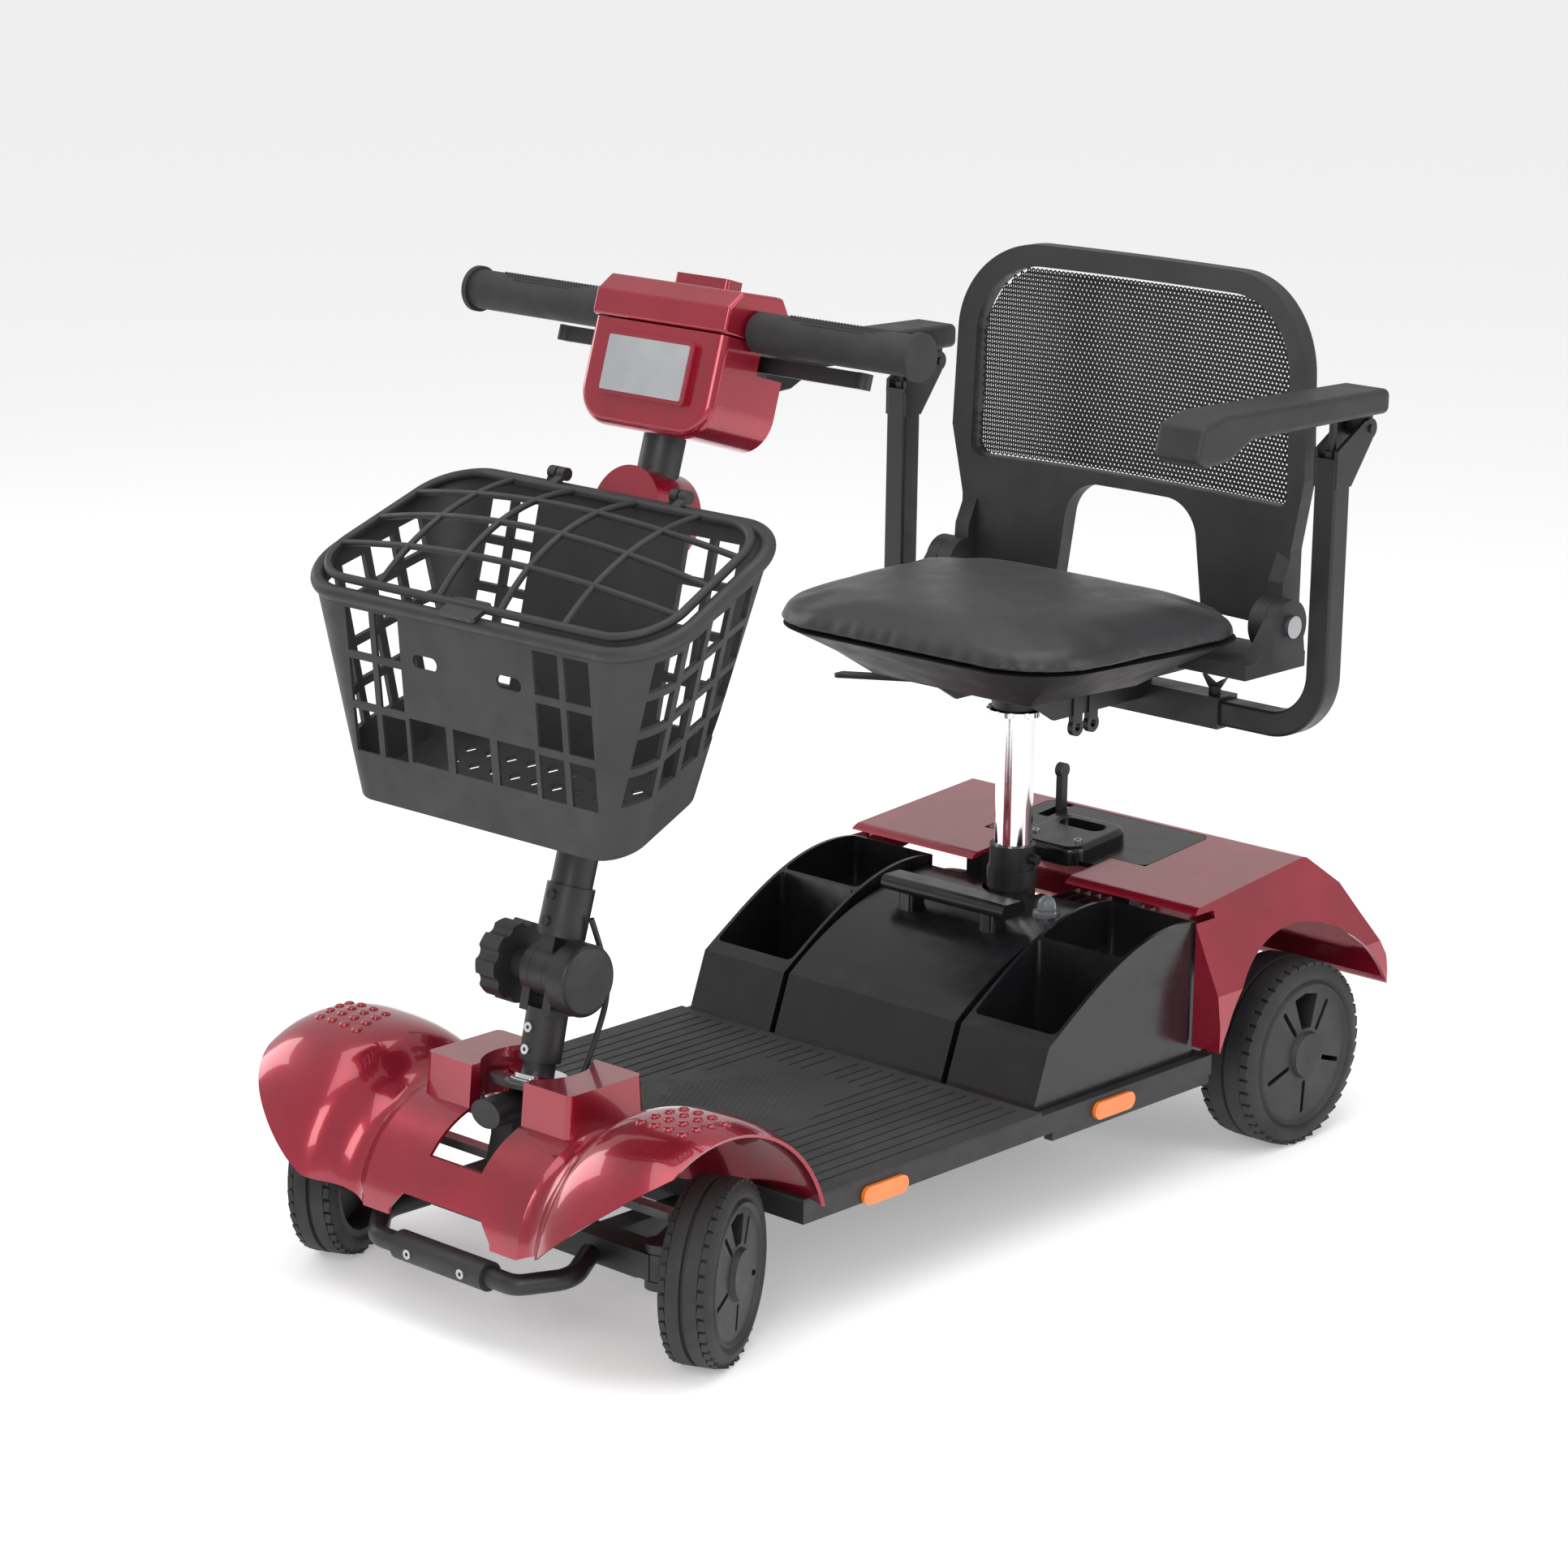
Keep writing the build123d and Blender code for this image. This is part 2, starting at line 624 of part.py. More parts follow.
handle_y = box_front_y + 138.0
handle_z = 262.0
handle_half = 78.0
lamp_x = 80.0
lamp_y = box_front_y + 186.0
lamp_r = 9.0
with BuildPart() as battery_pack:
    front, top = box_side(box_floor_z, box_top_z, battery_rear_y)
    with BuildSketch(side_plane(-battery_half_w)):
        with BuildLine():
            Polyline(*front)
            Spline(*top)
            Polyline((battery_rear_y, box_top_z), (battery_rear_y, box_floor_z), (box_front_y, box_floor_z))
        make_face()
    extrude(amount=2 * battery_half_w)
    with BuildSketch(Plane.XY.offset(box_floor_z)):
        with Locations((0, post_y)):
            Circle(socket_r + 6)
        with Locations((18, post_y)):        # keyway for the pin at the socket's side
            Rectangle(36, 14)
    extrude(amount=box_top_z, mode=Mode.SUBTRACT)
    for x in (-52, 52):
        with BuildSketch(Plane.XY.offset(box_top_z - 40)):
            with Locations((x, handle_y)):
                RectangleRounded(18, 22, 4)
        extrude(amount=handle_z - box_top_z + 40)
    with BuildSketch(side_plane(-handle_half)):
        with Locations((handle_y, handle_z)):
            RectangleRounded(34, 15, 7)
    extrude(amount=2 * handle_half)
    with BuildSketch(Plane.XY.offset(box_top_z - 16)):
        with Locations((lamp_x, lamp_y)):
            Circle(lamp_r + 5)
    extrude(amount=200, mode=Mode.SUBTRACT)
save(battery_pack, "battery_pack")

with BuildPart() as battery_lamp:
    with BuildSketch(Plane.XY.offset(box_top_z - 16)):
        with Locations((lamp_x, lamp_y)):
            Circle(lamp_r + 4.9)
    extrude(amount=16)
    with Locations((lamp_x, lamp_y, box_top_z + 7)):
        Sphere(lamp_r)
    with BuildSketch(Plane.XY.offset(box_top_z - 4)):
        with Locations((lamp_x, lamp_y)):
            Circle(lamp_r)
    extrude(amount=11)
save(battery_lamp, "battery_lamp")

# ==== rear covers ====================================================================================================
cover_half_w = 226.0
lip_out_x = 258.0
cover_low_z = 146.0
arch_y = rear_axle_y - 22.0
arch_z = 82.0
arch_r = 150.0
throat_half = 60.0
throat_rear_y = rear_axle_y - 90.0
opening_half = 104.0
opening_rear_y = rear_axle_y + 17.0


def cover_body(drop):
    """Side outline of the rear cover, moved inwards by drop."""
    return [
        (cover_front_y + drop, cover_low_z - 40), (cover_front_y + drop, cover_top_front_z - drop),
        (cover_slope_end_y, cover_top_rear_z - drop), (rear_axle_y + 70 - drop, cover_top_rear_z - 34),
        (rear_axle_y + rear_overhang - drop, 176), (rear_axle_y + rear_overhang - drop, cover_low_z - 40),
    ]


def cover_flank(drop):
    """Half outline across the rear cover: a flat top that rolls over into a flared skirt."""
    return [
        (0, 300), (cover_half_w - 16 - drop, 300), (cover_half_w - drop, cover_top_front_z - 18),
        (cover_half_w + 12 - drop, 226), (lip_out_x - 4 - drop, 192), (lip_out_x - drop, 160),
        (lip_out_x - drop, cover_low_z - 40), (0, cover_low_z - 40),
    ]


shells = []
for drop in (0, cover_wall):
    with BuildPart() as shell:
        with BuildSketch(side_plane(-lip_out_x)):
            with BuildLine():
                Polyline(*cover_body(drop), close=True)
            make_face()
            fillet(vertices().group_by(Axis.X)[-1] + vertices().sort_by(Axis.Y)[-2:], radius=14)
        extrude(amount=2 * lip_out_x)
        with BuildSketch(front_plane(cover_front_y - 10)):
            for mirrored in (1, -1):
                with BuildLine():
                    Polyline(*[(mirrored * x, z) for x, z in cover_flank(drop)], close=True)
                make_face()
        extrude(amount=-(rear_axle_y - cover_front_y + rear_overhang + 20), mode=Mode.INTERSECT)
    shells.append(shell.part)

with BuildPart() as rear_cover:
    add(shells[0])
    add(shells[1], mode=Mode.SUBTRACT)
    with BuildSketch(Plane.XY):
        with Locations((0, rear_axle_y)):
            Rectangle(800, 800)
    extrude(amount=cover_low_z - 10, mode=Mode.SUBTRACT)
    with BuildSketch(side_plane(-lip_out_x - 10)):
        with Locations((arch_y, arch_z)):
            Circle(arch_r)
        with Locations((rear_axle_y + 20, arch_z)):
            Circle(arch_r - 36)
    extrude(amount=2 * lip_out_x + 20, mode=Mode.SUBTRACT)
    with BuildSketch(Plane.XY.offset(cover_low_z)):
        with Locations((0, (throat_rear_y + cover_front_y - 20) / 2)):
            Rectangle(2 * throat_half, throat_rear_y - cover_front_y + 20)
        with Locations((0, (throat_rear_y + opening_rear_y) / 2)):
            Rectangle(2 * opening_half, opening_rear_y - throat_rear_y)
        fillet(vertices().group_by(Axis.Y)[-1], radius=10)
    extrude(amount=200, mode=Mode.SUBTRACT)
    with BuildSketch(Plane.XY):
        with Locations((0, cover_front_y)):
            Rectangle(2 * (tray_outer_x + 3), 60)
    extrude(amount=cover_top_front_z - 5, mode=Mode.SUBTRACT)
save(rear_cover, "rear_cover")

grip_half_w = 42.0
grip_front_y = post_y + 46.0
grip_rear_y = post_y + 136.0
lever_slot_x = -78.0
freewheel_y = rear_axle_y + 2.0
freewheel_z = 262.0
insert_t = 5.0
insert_gap = 1.0
top_slope = math.degrees(math.atan2(cover_top_rear_z - cover_top_front_z, cover_slope_end_y - cover_front_y))
top_plane = Plane(origin=(0, throat_rear_y, cover_top(throat_rear_y)), x_dir=(1, 0, 0),
                  z_dir=(0, -math.sin(math.radians(top_slope)), math.cos(math.radians(top_slope))))
insert_l = (opening_rear_y - throat_rear_y) - 2 * insert_gap
with BuildPart() as rear_cover_insert:
    with BuildSketch(top_plane.offset(-insert_t)):
        with Locations((0, insert_l / 2 + insert_gap)):
            RectangleRounded(2 * (opening_half - insert_gap), insert_l, 9)
        with Locations((0, -8)):
            Rectangle(2 * (throat_half - insert_gap), 34)
        with Locations((lever_slot_x, freewheel_y - throat_rear_y)):
            Rectangle(14, 60, mode=Mode.SUBTRACT)
    extrude(amount=insert_t)
    with BuildSketch(top_plane.offset(-insert_t)):
        with Locations((0, (grip_front_y + grip_rear_y) / 2 - throat_rear_y)):
            RectangleRounded(2 * grip_half_w, grip_rear_y - grip_front_y, 18)
    extrude(amount=insert_t + 14)
    fillet(rear_cover_insert.edges().group_by(Axis.Z)[-1], radius=6)
    with BuildSketch(top_plane.offset(-insert_t)):
        with Locations((0, grip_rear_y - throat_rear_y - 24)):
            RectangleRounded(54, 22, 10)
    extrude(amount=40, mode=Mode.SUBTRACT)
    for x in (lever_slot_x - 12, lever_slot_x + 5.5):
        with BuildSketch(side_plane(x)):
            with Locations((freewheel_y, freewheel_z)):
                Circle(8)
            with Locations((freewheel_y, (freewheel_z + cover_top(freewheel_y) - insert_t + 1) / 2)):
                Rectangle(16, cover_top(freewheel_y) - insert_t + 1 - freewheel_z)
            with Locations((freewheel_y, freewheel_z)):
                Circle(4 + running_gap, mode=Mode.SUBTRACT)
        extrude(amount=6.5)
    with BuildSketch(Plane.XY.offset(cover_low_z)):
        for x in (-rail_x, rail_x):
            with Locations((x, rear_post_y)):
                Rectangle(24, 24)
        with Locations((0, post_y)):
            Circle(socket_r + 4)
    extrude(amount=200, mode=Mode.SUBTRACT)
save(rear_cover_insert, "rear_cover_insert")

with BuildPart() as cover_screws:
    for x in (-screw_x, screw_x):
        with BuildSketch(front_plane(bumper_y - sleeve_r + 1)):
            with Locations((x, bumper_z)):
                Circle(screw_r)
                RegularPolygon(2, 6, mode=Mode.SUBTRACT)
        extrude(amount=2.5)
        with BuildSketch(top_plane.offset(14)):
            with Locations((x * 0.8, grip_front_y - throat_rear_y + 24)):
                Circle(screw_r)
                RegularPolygon(2, 6, mode=Mode.SUBTRACT)
        extrude(amount=2)
save(cover_screws, "cover_screws")

with BuildPart() as seat_post_socket:
    with BuildSketch(Plane.XY.offset(socket_base_z)):
        with Locations((0, post_y)):
            Circle(socket_r + 1.5)
            Circle(post_r + running_gap, mode=Mode.SUBTRACT)
    extrude(amount=20)
    with BuildSketch(Plane.XY.offset(socket_base_z + 20)):
        with Locations((0, post_y)):
            Circle(socket_r - 0.5)
            Circle(post_r + running_gap, mode=Mode.SUBTRACT)
    extrude(amount=socket_top_z - socket_base_z - 20)
    with BuildSketch(side_plane(socket_r - 3)):
        with Locations((post_y, socket_base_z + 32)):
            Circle(5)
    extrude(amount=12)
save(seat_post_socket, "seat_post_socket")

# ==== drive =========================================================================================================
gear_r = 58.0
gear_half = 42.0
hub_face_x = rear_track_half - rear_tyre_w / 2 + 8
with BuildPart() as drive_unit:
    with BuildSketch(side_plane(-hub_face_x + 4)):
        with Locations((rear_axle_y, rear_tyre_r)):
            Circle(axle_tube_r)
    extrude(amount=2 * hub_face_x - 8)
    with BuildSketch(side_plane(-gear_half)):
        with Locations((rear_axle_y, rear_tyre_r)):
            Circle(gear_r)
    extrude(amount=2 * gear_half)
    with BuildSketch(side_plane(-10)):
        with Locations((rear_axle_y - 52, rear_tyre_r + 8)):
            Circle(34)
    extrude(amount=90)
    with BuildSketch(side_plane(-10)):
        with Locations((rear_axle_y - 30, rear_tyre_r + 4)):
            Rectangle(60, 70)
    extrude(amount=40)
    with BuildSketch(side_plane(-rear_track_half - rear_tyre_w / 2 + 16)):
        with Locations((rear_axle_y, rear_tyre_r)):
            Circle(axle_r)
    extrude(amount=2 * rear_track_half + rear_tyre_w - 32)
save(drive_unit, "drive_unit")

with BuildPart() as motor_controller:
    with BuildSketch(Plane.XY.offset(shelf_z + 4)):
        with Locations((0, rear_post_y + 66)):
            RectangleRounded(120, 84, 4)
    extrude(amount=34)
    with BuildSketch(Plane.XY.offset(shelf_z + 38)):
        with GridLocations(14, 84, 8, 1):
            with Locations((0, rear_post_y + 66)):
                Rectangle(3, 76)
    extrude(amount=8)
save(motor_controller, "motor_controller")

with BuildPart() as freewheel_lever:
    with BuildSketch(side_plane(lever_slot_x - 4)):
        with Locations((freewheel_y, freewheel_z)):
            Circle(9)
        with Locations((freewheel_y, (freewheel_z + 326) / 2)):
            Rectangle(9, 326 - freewheel_z)
        with Locations((freewheel_y, 326)):
            Circle(7.5)
    extrude(amount=8)
    with BuildSketch(side_plane(lever_slot_x - 12)):
        with Locations((freewheel_y, freewheel_z)):
            Circle(4)
    extrude(amount=24)
save(freewheel_lever, "freewheel_lever")

# ==== steering column =================================================================================================
clutch_r = 24.0
knob_r = 37.0
knob_x = -50.0
cap_r = 33.0
flange_r = 42.0
clutch_along = (Vector(0, clutch_y, clutch_z) - Vector(0, stem_y, stem_z)).dot(stem_dir)
pitman_along = (129.0 - stem_z) / math.cos(math.radians(stem_rake))
pitman_pin_y = (link_middle.Y - stem_y - pitman_along * math.sin(math.radians(stem_rake))) / math.cos(
    math.radians(stem_rake))
cheek_in = 9.0
cheek_out = 19.0
with BuildPart() as steering_column:
    with BuildSketch(stem_plane.offset(pitman_along - 3)):
        Circle(stem_r)
    extrude(amount=40 - pitman_along)
    with BuildSketch(stem_plane.offset(pitman_along - 3)):
        Circle(17)
        with Locations((link_middle.X / 2, pitman_pin_y / 2)):
            Rectangle(math.hypot(link_middle.X, pitman_pin_y), 16,
                      rotation=math.degrees(math.atan2(pitman_pin_y, link_middle.X)))
        with Locations((link_middle.X, pitman_pin_y)):
            Circle(9)
    extrude(amount=6)
    with BuildSketch(Plane.XY.offset(link_bottom_z)):
        with Locations(link_middle):
            Circle(4)
    extrude(amount=13)
    with BuildSketch(stem_plane.offset(head_tube_high + 0.4)):
        Circle(flange_r)
    extrude(amount=4)
    with BuildSketch(stem_plane.offset(14)):
        Circle(tube_r)
    extrude(amount=clutch_along - clutch_r - 8 - 14)
    for x in (-cheek_out, cheek_in):
        with BuildSketch(Plane(origin=(x, clutch_y, clutch_z), x_dir=(0, 1, 0), z_dir=(1, 0, 0))):
            Circle(clutch_r)
            with Locations((-math.sin(math.radians(stem_rake)) * clutch_r, -math.cos(math.radians(stem_rake)) * clutch_r)):
                Rectangle(2 * tube_r - 4, 26, rotation=-stem_rake)
        extrude(amount=cheek_out - cheek_in)
    with BuildSketch(side_plane(-cheek_out)):
        with Locations((clutch_y, clutch_z)):
            Circle(5)
    extrude(amount=2 * cheek_out)
    with BuildSketch(side_plane(cheek_out)):
        with Locations((clutch_y, clutch_z)):
            Circle(clutch_r - 4)
    extrude(amount=4)
    with BuildSketch(side_plane(cheek_out + 4)):
        with Locations((clutch_y, clutch_z)):
            Circle(cap_r)
    extrude(amount=22)
    fillet(steering_column.edges().filter_by(GeomType.CIRCLE).group_by(Axis.X)[-1], radius=5)
    with BuildSketch(side_plane(knob_x - 16)):
        with Locations((clutch_y, clutch_z)):
            Circle(4)
    extrude(amount=-knob_x + 16 - cheek_out)
save(steering_column, "steering_column")

with BuildPart() as column_hardware:
    with BuildSketch(stem_plane.offset(head_tube_high + 4.6)):
        Circle(30)
        Circle(stem_r + running_gap, mode=Mode.SUBTRACT)
    extrude(amount=3)
    with BuildSketch(stem_plane.offset(head_tube_high + 8)):
        Circle(26)
        Circle(stem_r + running_gap, mode=Mode.SUBTRACT)
    extrude(amount=4)
    for along in (24, 44):
        with BuildSketch(Plane(origin=stem_plane.origin + stem_dir * along, x_dir=(1, 0, 0),
                               z_dir=-stem_plane.y_dir).offset(tube_r + running_gap)):
            Circle(screw_r)
            RegularPolygon(2, 6, mode=Mode.SUBTRACT)
        extrude(amount=3)
save(column_hardware, "column_hardware")

with BuildPart() as clutch_knob:
    with BuildSketch(side_plane(knob_x - 13)):
        with Locations((clutch_y, clutch_z)):
            Circle(knob_r)
            with PolarLocations(knob_r + 3, 9):
                Circle(7, mode=Mode.SUBTRACT)
    extrude(amount=25)
    fillet(clutch_knob.faces().sort_by(Axis.X)[0].outer_wire().edges(), radius=2)
    with BuildSketch(side_plane(knob_x - 16)):
        with Locations((clutch_y, clutch_z)):
            Circle(16)
    extrude(amount=16 + knob_x * -1 - cheek_out - move_gap)
    with BuildSketch(side_plane(knob_x - 16)):
        with Locations((clutch_y, clutch_z)):
            Circle(4 + running_gap)
    extrude(amount=60, mode=Mode.SUBTRACT)
save(clutch_knob, "clutch_knob")

# ==== tiller =========================================================================================================
tang_gap = 0.3
tube_top = head_low + 40
shroud_low = 268.0
shroud_high = 452.0
shroud_r = 40.0
with BuildPart() as tiller_tube:
    with BuildSketch(Plane(origin=(-cheek_in + tang_gap, clutch_y, clutch_z), x_dir=(0, 1, 0), z_dir=(1, 0, 0))):
        Circle(clutch_r)
        with Locations((math.sin(math.radians(tiller_rake)) * 22, math.cos(math.radians(tiller_rake)) * 22)):
            Rectangle(2 * tube_r - 6, 30, rotation=-tiller_rake)
        Circle(5 + running_gap, mode=Mode.SUBTRACT)
    extrude(amount=2 * (cheek_in - tang_gap))
    with BuildSketch(tiller_plane.offset(clutch_r + 8)):
        Circle(tube_r)
    extrude(amount=tube_top - clutch_r - 8)
    with BuildSketch(tiller_plane.offset(clutch_r + 8)):
        Circle(tube_r + 3)
    extrude(amount=46)
    for along in (44, 68):
        with BuildSketch(Plane(origin=tiller_plane.origin + tiller_dir * along, x_dir=(1, 0, 0),
                               z_dir=-tiller_plane.y_dir).offset(tube_r)):
            Circle(screw_r)
        extrude(amount=5.5)
save(tiller_tube, "tiller_tube")

with BuildPart() as tiller_shroud:
    with BuildSketch(tiller_plane.offset(shroud_low)):
        with Locations((0, -4)):
            RectangleRounded(46, 52, 12)
    with BuildSketch(tiller_plane.offset(shroud_high - shroud_r)):
        with Locations((0, -4)):
            RectangleRounded(2 * shroud_r, 56, 14)
    loft()
    with BuildSketch(Plane(origin=tiller_plane.origin + tiller_dir * (shroud_high - shroud_r), x_dir=(1, 0, 0),
                           z_dir=-tiller_plane.y_dir).offset(-24)):
        Circle(shroud_r)
    extrude(amount=56)
    with BuildSketch(tiller_plane.offset(shroud_low - 5)):
        Circle(tube_r + running_gap)
    extrude(amount=shroud_high - shroud_low + 20, mode=Mode.SUBTRACT)
save(tiller_shroud, "tiller_shroud")


def tiller_side(x):
    """Sketch plane across the tiller at x: own x is rearwards, own y runs up along the tiller."""
    return Plane(origin=tiller_plane.origin + Vector(x, 0, 0), x_dir=tiller_plane.y_dir, z_dir=(1, 0, 0))


def tiller_front(depth):
    """Sketch plane facing the front of the tiller: own x is +X, own y runs up along the tiller."""
    return Plane(origin=tiller_plane.origin - tiller_plane.y_dir * depth, x_dir=(1, 0, 0),
                 z_dir=-tiller_plane.y_dir)


slot_low = lever_at - 12
slot_high = lever_at + 12
lever_pivot = 36.0
with BuildPart() as head_lower:
    with BuildSketch(tiller_front(38)):
        with Locations((0, (head_low + head_split) / 2)):
            Rectangle(2 * head_half_w, head_split - head_low)
        fillet(vertices().group_by(Axis.Y)[0], radius=34)
    extrude(amount=-84)
    fillet(head_lower.faces().sort_by(Axis.Y)[0].outer_wire().edges().group_by(Axis.Z)[:-1], radius=9)
    with BuildSketch(tiller_front(37)):
        with Locations((0, 537)):
            RectangleRounded(106, 56, 5)
    extrude(amount=6)
    with BuildSketch(tiller_plane.offset(slot_low)):
        with Locations((0, 12 + 25)):
            Rectangle(2 * head_half_w + 4, 50)
    extrude(amount=slot_high - slot_low, mode=Mode.SUBTRACT)
    with BuildSketch(tiller_plane.offset(slot_low)):
        with Locations((0, lever_pivot)):
            Circle(5)
    extrude(amount=slot_high - slot_low)
    with BuildSketch(tiller_plane.offset(head_low - 1)):
        Circle(tube_r + running_gap)
    extrude(amount=tube_top - head_low + 2, mode=Mode.SUBTRACT)
    with BuildSketch(tiller_side(-head_half_w - 4)):
        with Locations((0, bar_at)):
            Circle(bar_r + running_gap)
    extrude(amount=2 * head_half_w + 8, mode=Mode.SUBTRACT)
save(head_lower, "head_lower")

console = [(26.0, 620.0), (56.0, 587.0)]
with BuildPart() as head_upper:
    with BuildSketch(tiller_side(-head_half_w - 1)):
        with BuildLine():
            Polyline((-40, head_split + 1), (-40, 600), (-26, head_top), (18, head_top + 4), console[0],
                     console[1], (56, head_split + 1), close=True)
        make_face()
        fillet(vertices(), radius=4)
    extrude(amount=2 * head_half_w + 2)
    fillet(head_upper.faces().sort_by(Axis.X)[0].edges() + head_upper.faces().sort_by(Axis.X)[-1].edges(), radius=3)
    with BuildSketch(tiller_plane.offset(head_top + 2)):
        with Locations((0, 14)):
            RectangleRounded(64, 22, 4)
    extrude(amount=10)
    with BuildSketch(tiller_side(-head_half_w - 4)):
        with Locations((0, bar_at)):
            Circle(bar_r + running_gap)
    extrude(amount=2 * head_half_w + 8, mode=Mode.SUBTRACT)
save(head_upper, "head_upper")

with BuildPart() as badge_plate:
    with BuildSketch(tiller_front(43)):
        with Locations((0, 537)):
            RectangleRounded(98, 49, 2)
    extrude(amount=1.5)
save(badge_plate, "badge_plate")

with BuildPart() as handlebar:
    with BuildSketch(tiller_side(-bar_half)):
        with Locations((0, bar_at)):
            Circle(bar_r)
    extrude(amount=2 * bar_half)
save(handlebar, "handlebar")

with BuildPart() as handle_grips:
    for side in (-1, 1):
        with BuildSketch(tiller_side(grip_in if side > 0 else -grip_out)):
            with Locations((0, bar_at)):
                Circle(grip_r)
        extrude(amount=grip_out - grip_in)
        with BuildSketch(tiller_side(grip_out - 5 if side > 0 else -grip_out)):
            with Locations((0, bar_at)):
                Circle(grip_r + 3)
        extrude(amount=5)
    with BuildSketch(tiller_side(-bar_half - 0.2)):
        with Locations((0, bar_at)):
            Circle(bar_r + running_gap)
    extrude(amount=2 * bar_half + 0.4, mode=Mode.SUBTRACT)
save(handle_grips, "handle_grips")

with BuildPart() as throttle_lever:
    with BuildSketch(tiller_plane.offset(lever_at - 7)):
        with Locations((0, lever_pivot)):
            Circle(13)
            Rectangle(2 * 182, 8)
        for x in (-182, 182):
            with Locations((x, lever_pivot)):
                Circle(7)
        with Locations((0, lever_pivot)):
            Circle(5 + running_gap, mode=Mode.SUBTRACT)
    extrude(amount=14)
save(throttle_lever, "throttle_lever")

console_mid = Vector((console[0][0] + console[1][0]) / 2, (console[0][1] + console[1][1]) / 2)
console_dir = Vector(console[1][0] - console[0][0], console[1][1] - console[0][1]).normalized()
console_origin = (tiller_plane.origin + tiller_plane.y_dir * console_mid.X + tiller_dir * console_mid.Y)
console_down = tiller_plane.y_dir * console_dir.X + tiller_dir * console_dir.Y
console_plane = Plane(origin=console_origin, x_dir=(-1, 0, 0), z_dir=Vector(-1, 0, 0).cross(-console_down))
panel_t = 3.0
dial_x, key_x, horn_x = 0.0, 40.0, -40.0
with BuildPart() as control_panel:
    with BuildSketch(console_plane):
        RectangleRounded(128, 38, 6)
        Circle(4 + running_gap, mode=Mode.SUBTRACT)
        with Locations((key_x, 0)):
            Circle(7 + running_gap, mode=Mode.SUBTRACT)
        with Locations((horn_x, 0)):
            Circle(8 + running_gap, mode=Mode.SUBTRACT)
    extrude(amount=panel_t)
save(control_panel, "control_panel")

with BuildPart() as speed_dial:
    with BuildSketch(console_plane.offset(0.5)):
        Circle(4)
    extrude(amount=4)
    with BuildSketch(console_plane.offset(panel_t + 0.4)):
        Circle(12)
        with Locations((0, 12)):
            Rectangle(3, 4, mode=Mode.SUBTRACT)
    extrude(amount=9)
save(speed_dial, "speed_dial")

with BuildPart() as key_switch:
    with BuildSketch(console_plane.offset(0.5)):
        with Locations((key_x, 0)):
            Circle(7)
    extrude(amount=6)
    with BuildSketch(console_plane.offset(6)):
        with Locations((key_x, 0)):
            RectangleRounded(4, 12, 1.5)
    extrude(amount=9)
save(key_switch, "key_switch")

with BuildPart() as horn_button:
    with BuildSketch(console_plane.offset(2.5)):
        with Locations((horn_x, 0)):
            Circle(8)
    extrude(amount=5)
save(horn_button, "horn_button")

# ==== basket =========================================================================================================
# The basket tapers downwards; its rim and its floor both slope down to the front.
basket_rear_y = front_axle_y + 117.0
rim_front = (front_axle_y - 71.0, 634.0)
rim_rear = (basket_rear_y, 716.0)
floor_front = (front_axle_y - 53.0, 450.0)
floor_rear = (front_axle_y + 66.0, 494.0)
rim_front_half = 226.0
rim_rear_half = 206.0
floor_front_half = 172.0
floor_rear_half = 158.0
rim_corner_r = 55.0
lid_pin = (rim_rear[0] + 2.0, rim_rear[1] + 13.0)
lid_lift = 10.0          # lid frame above the rim's middle line


def sloped_plane(front, rear):
    """Plane through the front and rear edge of the basket's rim or floor, and the length between them."""
    run = Vector(0, rear[0] - front[0], rear[1] - front[1])
    return Plane(origin=(0, front[0], front[1]), x_dir=(1, 0, 0),
                 z_dir=Vector(1, 0, 0).cross(run.normalized())), run.length


rim_plane, rim_l = sloped_plane(rim_front, rim_rear)
base_plane, base_l = sloped_plane(floor_front, floor_rear)


def trapezoid(front_half, rear_half, length, inset):
    """Corners of a basket section in its sloped plane, front edge first."""
    return [(-front_half + inset, inset), (front_half - inset, inset),
            (rear_half - inset, length - inset), (-rear_half + inset, length - inset)]


basket_skins = []
for inset in (0, basket_wall):
    with BuildPart() as basket_skin:
        with BuildSketch(base_plane.offset(inset)):
            with BuildLine():
                Polyline(*trapezoid(floor_front_half, floor_rear_half, base_l, inset), close=True)
            make_face()
            fillet(vertices(), radius=32)
        with BuildSketch(rim_plane.offset(inset)):
            with BuildLine():
                Polyline(*trapezoid(rim_front_half, rim_rear_half, rim_l, inset), close=True)
            make_face()
            fillet(vertices(), radius=rim_corner_r)
        loft(ruled=True)
    basket_skins.append(basket_skin.part)


def wall_rows(low, high, count, bar):
    """Lower and upper edge of each window row between two heights."""
    pitch = (high - low + bar) / count
    return [(low + pitch * n, low + pitch * (n + 1) - bar) for n in range(count)]


